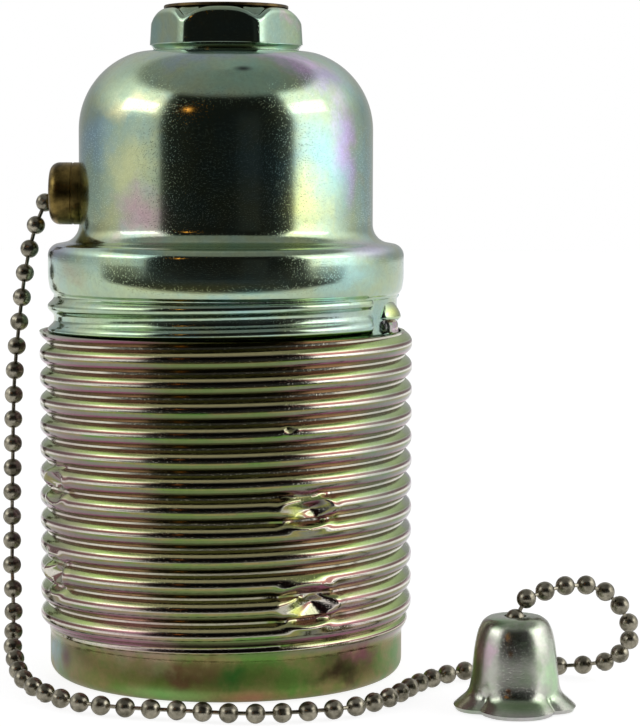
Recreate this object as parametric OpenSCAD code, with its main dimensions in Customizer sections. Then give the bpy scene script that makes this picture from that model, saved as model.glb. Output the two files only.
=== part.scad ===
// Switched lamp socket: a pressed cap with a hexagonal cable entry, a barrel with a rolled
// thread, a ceramic body with an E27 screw shell, and a ratchet switch pulled by a bead chain.
// It stands on its lamp mouth, centred on the origin, with its front towards -Y.

/* [Barrel] */
// Diameter over the crests of the barrel's rolled thread
thread_d = 39.5; // [36:0.1:48]
// Distance between two crests of the rolled thread
thread_pitch = 2.5; // [2:0.1:3]
// Depth of the barrel's rolled thread
thread_depth = 0.8; // [0.5:0.05:1]
// Height of the barrel
barrel_h = 36.3; // [32:0.1:44]
// Height of the plain band below the thread
band_h = 4.9; // [4:0.1:8]
// Thickness of the barrel's sheet
barrel_sheet = 0.4; // [0.3:0.05:0.5]
// Radius of the turned-in lower edge
edge_r = 1.4; // [1:0.1:1.8]
// Width of the flat lip inside the lower edge
lip_w = 0.9; // [0.5:0.1:1.5]

/* [Cap] */
// Diameter of the cap's plain wall
cap_d = 31; // [28:0.1:33]
// Thickness of the cap's sheet
cap_sheet = 0.45; // [0.35:0.05:0.48]
// Length of skirt that shows between the barrel and the flange ring
skirt_show = 3.6; // [3.4:0.1:5]
// Length of skirt that is screwed into the barrel
skirt_in = 5.2; // [4:0.1:7]
// Depth of the thread on the skirt
skirt_depth = 0.52; // [0.4:0.02:0.6]
// Play between the skirt's crests and the barrel's grooves
thread_play = 0.48; // [0.45:0.01:0.6]
// Height of the flange ring
flange_h = 5.2; // [4:0.1:6]
// How far the flange ring lies inside the barrel's crests
flange_inset = 0.94; // [0.8:0.02:1.2]
// Radius of the fillet between the flange ring and the wall
fillet_r = 2; // [1.5:0.1:2.4]
// Height from the flange ring to the start of the dome
wall_h = 12.3; // [11:0.1:16]
// Radius of the dome's shoulder
dome_r = 8.4; // [7.5:0.1:8.6]
// Hexagon across its flats
hex_af = 14; // [13.6:0.1:15]
// Height of the hexagon above the dome
hex_h = 4.3; // [3:0.1:6]
// Turn of the hexagon about the cap's axis
hex_turn = -2.7; // [-30:0.1:30]

/* [Cable entry] */
// Radius of the bush's threaded bore
entry_r = 4.5; // [4:0.05:4.8]
// Outer radius of the bush's rim
rim_r = 6.6; // [6.2:0.1:6.8]
// Height of the bush's rim above the hexagon
rim_h = 0.6; // [0.4:0.1:1]
// Outer radius of the bush's body
bush_r = 5.7; // [5.4:0.1:5.9]

/* [Lamp shell] */
// Radius of the lamp shell's mouth, inside
lamp_r = 13.35; // [12.5:0.05:13.6]
// Distance between two crests of the lamp thread
lamp_pitch = 3.62; // [3.2:0.02:4]
// Depth of the lamp thread
lamp_depth = 1.05; // [0.8:0.05:1.2]
// Thickness of the shell's sheet
shell_sheet = 0.35; // [0.25:0.05:0.4]
// Height of the shell's mouth above the barrel's lower edge
shell_z = 2.2; // [1.5:0.1:3]
// Length of the shell's plain mouth
mouth_h = 3; // [2:0.1:4]
// Height of the ceramic body below its shoulder
body_h = 17; // [15:0.1:20]

/* [Chain outlet] */
// Height of the outlet's axis above the flange ring
outlet_rise = 5.6; // [5:0.1:6.5]
// Outer radius of the bell-mouth
outlet_r = 3.28; // [3:0.02:3.6]
// How far the bell-mouth stands out from the wall
outlet_out = 3.1; // [2.8:0.1:3.6]
// Radius of the outlet's bore
outlet_bore = 1.35; // [1.25:0.05:1.5]
// Diameter of the chain's beads
bead_d = 2; // [1.8:0.05:2.1]

/* [Switch] */
// Distance from the rotor's pin to the chain's axis
arm_r = 5.2; // [5:0.1:5.6]
// Teeth of the ratchet wheel
teeth = 10; // [8:1:12]
// Radius over the ratchet's teeth
ratchet_r = 3.4; // [3:0.1:3.5]
// Radius over the cam's lobes
cam_r = 4.3; // [4:0.1:4.5]
// Position of the rotor's pin along X
pin_x = -1.5; // [-2:0.1:-1]

/* [Pull bell] */
// Height of the bell
bell_h = 9.4; // [9:0.1:12]
// Outer radius at the bell's waist
bell_waist = 4.4; // [4.2:0.1:5]
// Outer radius of the bell's rim
bell_rim = 6.05; // [5.8:0.05:7]
// Thickness of the bell's sheet
bell_sheet = 0.45; // [0.4:0.05:0.6]

/* [Hidden] */

$fn = 96;
eps = 0.01;

// Barrel and skirt threads share one set of crests
crest_r = thread_d / 2;
root_r = crest_r - thread_depth;
band_r = root_r - 0.2;
first_crest = band_h + 2.05;
skirt_crest = crest_r - barrel_sheet - thread_play;
skirt_root = skirt_crest - skirt_depth;
skirt_bore = skirt_root - cap_sheet;

// Heights of the cap
skirt_z = barrel_h - skirt_in;
flange_z = barrel_h + skirt_show;
flange_top = flange_z + flange_h;
flange_r = crest_r - flange_inset;
flange_edge = 0.5;
cap_r = cap_d / 2;
cap_bore = cap_r - cap_sheet;
dome_z = flange_top + wall_h;
dome_top = dome_z + dome_r;
hex_top = dome_top + hex_h;
hex_edge = 1.1;

// Ceramic body, sleeve and shell
shoulder_z = flange_top - cap_sheet - 0.2;
body_z = shoulder_z - body_h;
body_r = skirt_bore - 0.3;
chain_z = flange_top + outlet_rise;
body_top = chain_z - 4.65;
deck_r = cap_bore - 0.45;
shell_r = lamp_r + shell_sheet;
sleeve_bore = shell_r + 0.3;
sleeve_r = band_r - barrel_sheet - 0.2;
sleeve_tube = sleeve_bore + 2.2;
lamp_crest = shell_z + mouth_h + 1;
leaf = 0.4;

// Screws
bracket_y = deck_r - 2.4;
shell_screw_x = lamp_r - 3.35;
pedestal_r = shell_screw_x - 3.8;
pedestal_z = body_z - 2.3;
centre_screw_x = 2.6 - pedestal_r;
contact_x = 5.6;
contact_screw_r = 0.5;
detent_y = -1.2;
contact_y = 3.4;
hole_gap = 0.05;

// Bracket
plate_t = 1;
plate_top = dome_top - cap_sheet - 1.35;
leg_y = bracket_y - 1.6;
bracket_w = 7;
foot_y = deck_r - 0.5;

// Terminals
block_x = shell_screw_x - 3;
block_end = deck_r - 6.6;
block_w = sqrt(deck_r * deck_r - block_end * block_end) - 0.21 - block_x;
block_h = 6.5;
live_y = 2.4;
neutral_end = 1.2;
live_screw_y = (live_y + block_end) / 2;
neutral_screw_y = -(block_end + 2) / 2;
wire_r = 1.4;

// Switch
pin_r = 1;
pin_z = chain_z + arm_r;
run_gap = 0.05;
ear_in = 4.6;
ear_t = 0.8;
step = 360 / teeth;
tab_t = 0.8;
neck_r = 0.45;
ball_r = 0.95;
hook_x = pin_x + arm_r * tan(step / 2);
plate_y = -2.9;
lug_a = 60;
lug_r = 5.4;
strip_t = 0.3;
blade_gap = 0.08;

// Locking tab in the skirt's window, to the right of the front
lock_a = -19.5;
lock_w = 2.8;
lock_foot = barrel_h + 0.05;
lock_top = barrel_h + 1.3;
lock_seat = barrel_h - 2.4;
lock_in = skirt_bore - 0.75;
window_top = barrel_h + 2;
nub_z = barrel_h + 2.8;
nub_r = 1;

// Bell's place and the middle of its top
bell_x = 29.35;
bell_y = -20;

// Chain outlet
shank_r = 2.2;
nose_r = 1.03;
mouth_fillet = 0.2;

// Route of the pull chain's middle line, from its clasp to the top of the bell
coupling_end = hook_x - 3.95;
chain_route = [
    [coupling_end, 0, chain_z], [-7, 0, chain_z], [-10.5, 0, chain_z], [-14, 0, chain_z],
    [-16.8, 0, chain_z], [-19.15, 0, 49.75], [-20.2, 0, 47.2], [-20.9, 0, 44.6],
    [-21.4, 0, 42], [-22, 0, 37], [-22.5, 0, 32], [-22.7, 0, 27], [-22.8, 0, 22],
    [-22.9, 0, 17], [-22.9, -0.1, 13.5], [-22.9, -0.5, 10.6], [-22.7, -1.3, 8.4],
    [-22.5, -2.6, 6.4], [-22.3, -4.4, 4.7], [-22.1, -6.6, 3.6], [-21.6, -9, 2.8],
    [-21, -11.3, 2.1], [-20.3, -13.6, 1.7], [-19.2, -15.7, 1.4], [-18, -17.6, 1.2],
    [-16.7, -19.3, 1.1], [-15, -21, 1], [-13, -22.5, 1], [-10.6, -23.8, 1],
    [-7, -24.8, 1], [-3.2, -25.6, 1], [1, -26.6, 1], [4.6, -26.8, 1], [8, -26, 1],
    [11.4, -24.9, 1], [13.6, -23.5, 1], [15.4, -21.6, 1], [17, -19.4, 1],
    [18.2, -17, 1], [19.2, -14.6, 1], [20.3, -12.3, 1], [21.7, -10.1, 1],
    [23.4, -8.1, 1], [25.7, -6.2, 1], [29, -4.8, 1], [33, -4.3, 1], [36.9, -4.5, 1.2],
    [39.3, -5.4, 1.6], [40.8, -7.2, 2.6], [41.8, -8.8, 4.1], [42, -10.4, 6],
    [41.2, -11.7, 8.1], [39.8, -12.9, 10], [37.9, -14.1, 11.2], [35.7, -15.4, 11.7],
    [33.3, -16.8, 11.5], [31.4, -18.3, 11.1], [30.3, -19.2, 10.8], [29.6, -19.8, 10.2],
    [29.35, -20, 9.4], [29.35, -20, 8.5]];

// Outlines in the plane of radius and height
function unit(v) = v / norm(v);
function arc(c, r, a0, a1, n) =
    [for (i = [0:n]) c + r * [cos(a0 + (a1 - a0) * i / n), sin(a0 + (a1 - a0) * i / n)]];
function wave(u) = let (e = 0.15) (sqrt(pow(cos(180 * u), 2) + e * e) - e) / (sqrt(1 + e * e) - e);
function thread_path(z_from, z_to, root, depth, crest, pitch) =
    let (n = ceil(abs(z_from - z_to) / pitch * 10))
    [for (i = [0:n]) let (z = z_from + (z_to - z_from) * i / n) [root + depth * wave((z - crest) / pitch), z]];

// The other side of a sheet whose outer side is the path, read from its top to its foot
function inner_side(path, t) =
    [for (i = [0:len(path) - 1])
        let (a = unit(path[min(i + 1, len(path) - 1)] - path[max(i - 1, 0)]))
        path[i] + t * [a[1], -a[0]]];
function reversed(list) = [for (i = [len(list) - 1:-1:0]) list[i]];

// A turned sheet, and a bent strip that lies across Y
module turned_sheet(path, t) {
    rotate_extrude() polygon(concat(path, reversed(inner_side(path, t))));
}
module strip(path, t, y0, y1) {
    translate([0, y1, 0]) rotate([90, 0, 0]) linear_extrude(y1 - y0)
        polygon(concat(path, reversed(inner_side(path, t))));
}
module hexagon(af, h) { cylinder(r = af / 2 / cos(30), h = h, $fn = 6); }

// A slotted screw whose head rests on z = 0 with its shank pointing down
module screw(shank_r, shank_l, head_r, head_h) {
    difference() {
        union() {
            cylinder(r = head_r, h = head_h, $fn = 32);
            translate([0, 0, -shank_l]) cylinder(r = shank_r, h = shank_l + eps, $fn = 32);
        }
        translate([-head_r, -0.3, head_h * 0.55]) cube([2 * head_r, 0.6, head_h]);
    }
}

module cap() {
    path = concat(
        [[hex_af / 2 - 2, dome_top]],
        arc([cap_r - dome_r, dome_z], dome_r, 90, 0, 14),
        arc([cap_r + fillet_r, flange_top + fillet_r], fillet_r, 180, 270, 8),
        arc([flange_r - flange_edge, flange_top - flange_edge], flange_edge, 90, 0, 5),
        arc([flange_r - flange_edge, flange_z + flange_edge], flange_edge, 0, -80, 5),
        [[skirt_root, flange_z - 0.5]],
        thread_path(first_crest + (ceil((flange_z - 1.2 - first_crest) / thread_pitch) - 0.5) * thread_pitch,
            skirt_z, skirt_root, skirt_depth, first_crest, thread_pitch));
    color("#9fb5ad") difference() {
        union() {
            turned_sheet(path, cap_sheet);
            hex_shell();
            lock_nub();
        }
        translate([0, 0, dome_top - 2]) rotate([0, 0, hex_turn])
            hexagon(hex_af - 2 * cap_sheet, hex_h + 2 - cap_sheet);
        translate([0, 0, dome_top]) cylinder(r = bush_r + hole_gap, h = hex_h + 1);
        translate([0, 0, chain_z]) rotate([0, -90, 0]) cylinder(r = shank_r + hole_gap, h = cap_r + 1, $fn = 48);
        rotate([0, 0, lock_a]) {
            translate([skirt_bore - 0.5, -lock_w / 2 - 0.3, lock_foot - 0.4])
                cube([3, lock_w + 0.6, window_top - lock_foot + 0.4]);
            translate([skirt_root - 0.2, 0, nub_z]) sphere(r = nub_r - cap_sheet, $fn = 32);
        }
    }
}

// The hexagon, rounded over its top edge as a drawn sheet is
module hex_shell() {
    corner = hex_af / 2 / cos(30) - 0.12;
    intersection() {
        translate([0, 0, dome_top - cap_sheet]) rotate([0, 0, hex_turn]) hexagon(hex_af, hex_h + cap_sheet);
        rotate_extrude() polygon(concat([[0, dome_top - 1]], [[corner, dome_top - 1]],
            arc([corner - hex_edge, hex_top - hex_edge], hex_edge, 0, 90, 8), [[0, hex_top]]));
    }
}

// The pressed nub above the locking tab's window
module lock_nub() {
    rotate([0, 0, lock_a]) translate([skirt_root - 0.2, 0, nub_z]) sphere(r = nub_r, $fn = 32);
}

module entry_bush() {
    rim_z = hex_top + rim_h;
    color("#5a4a35") difference() {
        union() {
            translate([0, 0, hex_top]) cylinder(r = rim_r, h = rim_h);
            translate([0, 0, plate_top - plate_t - 0.6]) cylinder(r = bush_r, h = rim_z - plate_top + plate_t);
            translate([0, 0, plate_top - plate_t - 0.6]) cylinder(r = rim_r, h = 0.6);
        }
        translate([0, 0, plate_top - plate_t - 1]) cylinder(r = entry_r, h = rim_z - plate_top + plate_t + 2);
    }
}

module barrel() {
    path = concat(
        thread_path(barrel_h + 0.5, band_h + 0.8, root_r, thread_depth, first_crest, thread_pitch),
        [[band_r, band_h]],
        arc([band_r - edge_r, edge_r], edge_r, 0, -90, 8),
        [[band_r - edge_r - lip_w, 0]]);
    color("#7c7a55") difference() {
        turned_sheet(path, barrel_sheet);
        translate([0, 0, barrel_h]) cylinder(r = crest_r + 1, h = 2);
    }
}

module chain_outlet() {
    nose = cap_r + outlet_out;
    lip_r = outlet_r - nose_r;
    color("#6b5a35") difference() {
        translate([0, 0, chain_z]) rotate([0, -90, 0]) rotate_extrude($fn = 64) polygon(concat(
            [[outlet_bore, cap_r - 3], [shank_r, cap_r - 3], [shank_r, cap_r - 0.6], [outlet_r, cap_r - 0.6]],
            arc([lip_r, nose - nose_r], nose_r, 0, 90, 8),
            arc([lip_r, nose - mouth_fillet], mouth_fillet, 110, 180, 3),
            [[outlet_bore, nose - 2.1]]));
        difference() {
            translate([0, 0, chain_z - 5]) cylinder(r = cap_r + 0.02, h = 10);
            translate([0, 0, chain_z]) rotate([0, -90, 0]) cylinder(r = shank_r, h = 30);
        }
    }
}

module outlet_nut() {
    color("#8c8c86") translate([-cap_bore + 0.65, 0, chain_z]) rotate([0, 90, 0]) difference() {
        rotate([0, 0, 30]) hexagon(7, 1.3);
        translate([0, 0, -1]) cylinder(r = shank_r + 0.02, h = 4, $fn = 48);
    }
}

// Spring tongue: it stands in a notch of the ceramic body and hooks out through the window
module locking_tab() {
    outside = skirt_crest - 0.05 - strip_t;
    path = [[lock_in - 1.6, lock_seat], [lock_in, lock_seat], [lock_in, lock_top], [outside, lock_top],
        [outside, lock_foot]];
    color("#b9b69a") rotate([0, 0, lock_a]) strip_corner(path, -lock_w / 2, lock_w / 2);
}

module insulator_body() {
    color("#e9e4d8") difference() {
        union() {
            translate([0, 0, body_z]) cylinder(r = body_r, h = body_h);
            translate([0, 0, shoulder_z - 1]) cylinder(r = deck_r, h = body_top - shoulder_z + 1);
            translate([0, 0, pedestal_z]) cylinder(r = pedestal_r, h = 4);
        }
        for (s = [-1, 1]) {
            translate([0, s * bracket_y, body_z - 1]) cylinder(r = 1.6, h = 30, $fn = 32);
            translate([0, s * bracket_y, body_z - 1]) cylinder(r = 2.7, h = 4.2, $fn = 32);
            translate([pin_x + s * 3, 0, body_top - 7]) cylinder(r = 1 + hole_gap, h = 8, $fn = 32);
        }
        translate([shell_screw_x, 0, body_z - 1]) cylinder(r = 1.3 + hole_gap, h = 30, $fn = 32);
        translate([-shell_screw_x, 0, body_z - 1]) cylinder(r = 1.3 + hole_gap, h = 10, $fn = 32);
        translate([centre_screw_x, 0, pedestal_z - 1]) cylinder(r = 1.2 + hole_gap, h = 9, $fn = 32);
        for (y = [detent_y, contact_y])
            translate([contact_x, y, body_top - 4]) cylinder(r = contact_screw_r + hole_gap, h = 5, $fn = 32);
        rotate([0, 0, lock_a]) translate([lock_in - 1.6, -lock_w / 2 - 0.3, lock_seat])
            cube([4, lock_w + 0.6, nub_z + nub_r - lock_seat + 0.3]);
    }
}

module insulating_sleeve() {
    chamfer = edge_r;
    color("#ece7da") difference() {
        union() {
            rotate_extrude() polygon([[sleeve_bore - 0.5, barrel_sheet], [sleeve_r - chamfer, barrel_sheet],
                [sleeve_r, barrel_sheet + chamfer], [sleeve_r, band_h], [sleeve_tube, band_h + 1],
                [sleeve_tube, body_z], [sleeve_bore - 0.5, body_z]]);
        }
        translate([0, 0, -1]) cylinder(r = sleeve_bore, h = body_z + 2);
    }
}

module lamp_shell() {
    path = concat(
        [[pedestal_r + 0.8, body_z], [shell_r - 0.4, body_z], [shell_r, body_z - 0.4]],
        thread_path(body_z - 1, lamp_crest, shell_r - lamp_depth, lamp_depth, lamp_crest, lamp_pitch),
        [[shell_r, shell_z + mouth_h], [shell_r, shell_z]]);
    color("#c9a55a") difference() {
        turned_sheet(path, shell_sheet);
        for (s = [-1, 1]) translate([s * shell_screw_x, 0, body_z - 2])
            cylinder(r = 1.3 + hole_gap, h = 4, $fn = 32);
    }
}

module shell_screws() {
    lengths = [body_top + 3 - body_z, 6];
    color("#c9a55a") for (i = [0, 1])
        translate([(1 - 2 * i) * shell_screw_x, 0, body_z - shell_sheet])
            rotate([180, 0, 0]) screw(1.3, lengths[i], 1.9, 1.3);
}

// Bronze leaf under the pedestal, bowed down towards the lamp
module centre_contact() {
    end = pedestal_r - 0.6;
    path = [[-end, pedestal_z], [-1.6, pedestal_z], [0.2, pedestal_z - 2.2], [1.6, pedestal_z - 2.7],
        [3, pedestal_z - 2.2], [end - 0.4, pedestal_z - 0.5]];
    color("#c98d4c") difference() {
        strip(path, leaf, -2.6, 2.6);
        translate([centre_screw_x, 0, pedestal_z - 2]) cylinder(r = 1.2 + hole_gap, h = 4, $fn = 32);
    }
}

module centre_screw() {
    color("#c9a55a") translate([centre_screw_x, 0, pedestal_z - leaf])
        rotate([180, 0, 0]) screw(1.2, 7.5, 1.9, 1.3);
}

// Brass block with a cross bore for the wire and a tapped hole for its clamp screw
module terminal_block(y0, y1, screw_y) {
    difference() {
        translate([block_x, y0, body_top]) cube([block_w, y1 - y0, block_h]);
        translate([block_x - 1, screw_y, body_top + 3.4]) rotate([0, 90, 0]) cylinder(r = wire_r, h = block_w + 2, $fn = 32);
        translate([block_x + block_w / 2, screw_y, body_top + 3.4]) cylinder(r = 1.25 + hole_gap, h = block_h, $fn = 32);
    }
}
module terminal_block_live() {
    color("#c9a55a") difference() {
        terminal_block(live_y, block_end, live_screw_y);
        translate([block_x - 1, contact_y, body_top + 1.4]) rotate([0, 90, 0]) cylinder(r = 0.8, h = 3, $fn = 24);
    }
}
module terminal_block_neutral() {
    color("#c9a55a") difference() {
        terminal_block(-block_end, neutral_end, neutral_screw_y);
        translate([shell_screw_x, 0, body_top - 1]) cylinder(r = 1.3 + hole_gap, h = 5, $fn = 32);
    }
}
module terminal_screws() {
    color("#b7b7b0") for (y = [live_screw_y, neutral_screw_y])
        translate([block_x + block_w / 2, y, body_top + block_h + 0.4]) screw(1.25, 2.6, 2, 1.4);
}

// Steel strip: its plate is clamped by the bush and its feet stand on the ceramic body
module earth_bracket() {
    w = bracket_w;
    color("#8f938f") difference() {
        union() {
            translate([-w / 2, -leg_y, plate_top - plate_t]) cube([w, 2 * leg_y, plate_t]);
            translate([0, 0, plate_top - plate_t]) cylinder(r = bush_r + 2, h = plate_t);
            for (s = [0, 1]) mirror([0, s, 0]) {
                translate([-w / 2, leg_y - plate_t, body_top]) cube([w, plate_t, plate_top - body_top]);
                translate([-w / 2, leg_y - plate_t, body_top]) cube([w, foot_y - leg_y + plate_t, 1.2]);
            }
        }
        translate([0, 0, plate_top - 3]) cylinder(r = bush_r + hole_gap, h = 6);
        for (s = [-1, 1]) translate([0, s * bracket_y, body_top - 1]) cylinder(r = 1.25 + hole_gap, h = 4, $fn = 32);
        translate([0, leg_y - 3, body_top + 8]) rotate([-90, 0, 0]) cylinder(r = 1.25 + hole_gap, h = 6, $fn = 32);
    }
}
module bracket_screws() {
    color("#b7b7b0") for (s = [-1, 1])
        translate([0, s * bracket_y, body_z + 3.2]) rotate([180, 0, 0]) screw(1.25, body_top - body_z - 1.5, 2.4, 1.6);
}
module earth_screw() {
    color("#c9a55a") translate([0, leg_y, body_top + 8]) rotate([-90, 0, 0]) screw(1.25, 3, 2.2, 1.5);
}

// Bent frame: a base plate with two ears that hold the rotor's pin
module switch_frame() {
    base_x = pin_x - 4.4;
    color("#a9aca6") difference() {
        union() {
            translate([base_x, -ear_in - ear_t, body_top]) cube([8.6, 2 * (ear_in + ear_t), ear_t]);
            for (y = [-ear_in - ear_t, ear_in]) translate([0, y + ear_t, 0]) rotate([90, 0, 0])
                linear_extrude(ear_t) {
                    translate([pin_x, pin_z]) circle(r = 2.6);
                    polygon([[base_x, body_top], [base_x + 8.6, body_top], [pin_x + 2.55, pin_z],
                        [pin_x - 2.55, pin_z]]);
                }
        }
        translate([pin_x, 0, pin_z]) rotate([90, 0, 0]) cylinder(r = pin_r + 0.02, h = 20, center = true, $fn = 48);
        for (s = [-1, 1]) translate([pin_x + s * 3, 0, body_top - 1]) cylinder(r = 1 + hole_gap, h = 3, $fn = 32);
    }
}
module frame_rivets() {
    color("#c9a55a") for (s = [-1, 1]) translate([pin_x + s * 3, 0, body_top + ear_t]) {
        translate([0, 0, -7.5]) cylinder(r = 1, h = 7.6, $fn = 32);
        intersection() {
            translate([0, 0, -1]) sphere(r = 1.9, $fn = 32);
            cylinder(r = 1.8, h = 1, $fn = 32);
        }
    }
}
module rotor_pin() {
    end = ear_in + ear_t;
    color("#c4c4be") translate([pin_x, 0, pin_z]) rotate([90, 0, 0]) {
        cylinder(r = pin_r, h = 2 * end, center = true, $fn = 48);
        for (s = [0, 1]) mirror([0, 0, s]) translate([0, 0, end]) cylinder(r = 1.6, h = 0.6, $fn = 32);
    }
}

// Pieces about the pin are drawn round the origin, with their plane in X and Z
module at_pin(y) { translate([pin_x, y, pin_z]) rotate([90, 0, 0]) children(); }
function polar(r, a) = r * [-sin(a), -cos(a)];

module pull_arm() {
    tab_y = 2.2;
    color("#b0b0a8") difference() {
        union() {
            at_pin(plate_y + tab_t) linear_extrude(tab_t) {
                circle(r = 2.6);
                rotate(step / 2) translate([-1.6, -6.4]) square([2, 6.4]);
                polygon([polar(2.2, lug_a - 80), polar(lug_r + 0.4, lug_a - 8), polar(lug_r + 0.4, lug_a + 8),
                    polar(2.2, lug_a + 80)]);
                translate(polar(lug_r, lug_a)) circle(r = 1.2, $fn = 32);
            }
            at_pin(tab_y) rotate([0, 0, step / 2]) translate([-tab_t / 2, -6.4, 0])
                cube([tab_t, 6.4 - ratchet_r - 0.3, tab_y - plate_y]);
        }
        at_pin(0) cylinder(r = pin_r + run_gap, h = 20, center = true, $fn = 48);
        at_pin(0) rotate([0, 0, step / 2]) translate([-1, -7, -0.65]) cube([2, 2.5, 1.3]);
    }
}

// Pawl on the arm's lug, its finger behind a tooth of the wheel
module drive_pawl() {
    tip = lug_a + 47;
    color("#8f8f88") at_pin(plate_y + tab_t + 1.4) linear_extrude(1.4) {
        translate(polar(lug_r, lug_a)) circle(r = 0.9, $fn = 32);
        polygon([polar(lug_r - 0.7, lug_a - 6), polar(ratchet_r - 0.25, tip - 10), polar(ratchet_r - 0.3, tip - 2),
            polar(ratchet_r + 0.6, tip - 3), polar(lug_r + 0.6, lug_a + 10)]);
    }
}

// Torsion spring round the pin: a swept coil with one leg on the frame and one on the arm
module return_spring() {
    turns = 3;
    wire = 0.2;
    coil_r = 1.9;
    start_y = -ear_in + wire + 0.02;
    pitch = (plate_y - start_y - wire - 0.04) / turns;
    coil = [for (i = [0:turns * 16]) let (a = i * 360 / 16)
        [pin_x + coil_r * cos(a), start_y + pitch * i / 16, pin_z + coil_r * sin(a)]];
    foot = [pin_x + coil_r, start_y, pin_z - 4.5];
    arm_leg = [pin_x + coil_r, start_y + pitch * turns, pin_z + 3.5];
    color("#b8b8b0") sweep(concat([foot], coil, [arm_leg]), wire, 6);
}

module ratchet_wheel() {
    low = ratchet_r - 0.6;
    outline = [for (k = [0:teeth - 1]) each [polar(low, lug_a + 46 + k * step), polar(ratchet_r, lug_a + 46 + k * step)]];
    color("#a8a295") difference() {
        union() {
            at_pin(-0.5) linear_extrude(1.2) polygon(outline);
            at_pin(2.6) cylinder(r = 2, h = 3.2, $fn = 48);
        }
        at_pin(0) cylinder(r = pin_r + run_gap, h = 20, center = true, $fn = 48);
    }
}
module cam_rotor() {
    lobes = teeth / 2;
    color("#5c2f22") at_pin(4.2) difference() {
        linear_extrude(1.6) polygon([for (i = [0:71]) (cam_r - 0.4 + 0.4 * cos(lobes * (i * 5 - 90))) * [cos(i * 5), sin(i * 5)]]);
        translate([0, 0, -1]) cylinder(r = pin_r + run_gap, h = 4, $fn = 48);
    }
}

// Spring blades that bear on the wheel and on the cam
module detent_spring() {
    top = pin_z + ratchet_r + blade_gap;
    path = [[pin_x - 1, top], [contact_x - 1.6, top], [contact_x - 1.6, body_top], [contact_x + 0.7, body_top]];
    color("#c98d4c") difference() {
        strip_corner(path, detent_y - 0.8, detent_y + 0.8);
        translate([contact_x, detent_y, body_top - 1]) cylinder(r = contact_screw_r + hole_gap, h = 3, $fn = 24);
    }
}

// A strip of square corners: one bar along each leg of its path, on the far side of it
module strip_corner(path, y0, y1) {
    for (i = [0:len(path) - 2]) {
        a = [min(path[i][0], path[i + 1][0]), min(path[i][1], path[i + 1][1])];
        b = [max(path[i][0], path[i + 1][0]), max(path[i][1], path[i + 1][1])];
        translate([a[0], y0, a[1]]) cube([b[0] - a[0] + strip_t, y1 - y0, b[1] - a[1] + strip_t]);
    }
}
module moving_contact() {
    face = pin_x + cam_r + blade_gap;
    bend = contact_x - 1.5;
    path = [[face, pin_z + 3.2], [face, pin_z - 3.2], [bend, body_top + 2.6], [bend, body_top],
        [contact_x + 1.1, body_top]];
    color("#c98d4c") difference() {
        strip(path, -strip_t, contact_y - 0.8, contact_y + 0.8);
        translate([contact_x, contact_y, body_top - 1]) cylinder(r = contact_screw_r + hole_gap, h = 3, $fn = 24);
    }
}
module fixed_contact() {
    face = pin_x + cam_r + blade_gap + strip_t;
    button_z = pin_z + 1.8;
    color("#c98d4c") difference() {
        union() {
            translate([block_x - strip_t, contact_y - 0.8, body_top + 0.4]) cube([strip_t, 1.6, button_z + 1 - body_top]);
            translate([face + 0.05, contact_y, button_z]) rotate([0, 90, 0])
                cylinder(r = 0.75, h = block_x - face - 0.1, $fn = 24);
        }
        translate([block_x - 2, contact_y, body_top + 1.4]) rotate([0, 90, 0]) cylinder(r = 0.5, h = 1, $fn = 24);
    }
}
module contact_screws() {
    color("#b7b7b0") for (y = [detent_y, contact_y])
        translate([contact_x, y, body_top + strip_t]) screw(contact_screw_r, 3.8, 1, 0.8);
}

// A round bar swept along a route, its rings carried on without twist
function ring_axis(path, i) = unit(path[min(i + 1, len(path) - 1)] - path[max(i - 1, 0)]);
function square_to(v, t) = unit(v - (v * t) * t);
function ring_sides(path, i = 1, sides = []) =
    let (list = len(sides) == 0 ? [square_to([0.1, 0.3, 1], ring_axis(path, 0))] : sides)
    i == len(path) ? list
        : ring_sides(path, i + 1, concat(list, [square_to(list[i - 1], ring_axis(path, i))]));
module sweep(path, r, n) {
    sides = ring_sides(path);
    last = len(path) - 1;
    points = [for (i = [0:last]) let (u = sides[i], v = cross(ring_axis(path, i), u))
        for (k = [0:n - 1]) path[i] + r * (cos(k * 360 / n) * u + sin(k * 360 / n) * v)];
    walls = [for (i = [0:last - 1]) for (k = [0:n - 1]) let (m = (k + 1) % n)
        [i * n + k, (i + 1) * n + k, (i + 1) * n + m, i * n + m]];
    polyhedron(points, concat([[for (k = [0:n - 1]) k]], walls, [[for (k = [n - 1:-1:0]) last * n + k]]));
}

module pull_chain() { color("#6d6a5c") sweep(chain_route, bead_d / 2, 8); }

// Clasp on the chain's end, with a neck through the arm's slot and a ball behind it
module chain_coupling() {
    color("#7a7460") translate([coupling_end, 0, chain_z]) rotate([0, 90, 0]) {
        cylinder(r = 1.25, h = 3, $fn = 32);
        cylinder(r = neck_r, h = hook_x + 1.5 - coupling_end, $fn = 24);
        translate([0, 0, hook_x + 1.5 - coupling_end]) sphere(r = ball_r, $fn = 32);
    }
}

// Pressed bell with a flared rim cut into four petals
module pull_bell() {
    shoulder = 1.9;
    bend = 1.1;
    slant = 44;
    bend_x = bell_waist + bend * (1 - cos(slant));
    bend_z = bell_sheet * cos(slant) + (bell_rim - bend_x) * tan(slant) + bend * sin(slant);
    path = concat([[bead_d / 2 + 0.12, bell_h]],
        arc([bell_waist - 2.6, bell_h - shoulder], shoulder, 84, 0, 7),
        arc([bell_waist + bend, bend_z], bend, 180, 180 + slant, 4),
        [[bell_rim, bell_sheet * cos(slant)]]);
    color("#a9aca4") translate([bell_x, bell_y, 0]) difference() {
        turned_sheet(path, bell_sheet);
        for (k = [0:3]) rotate([0, 0, 45 + 90 * k]) translate([bell_rim + 0.3, 0, -1]) cylinder(r = 0.9, h = 3, $fn = 24);
    }
}

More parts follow.
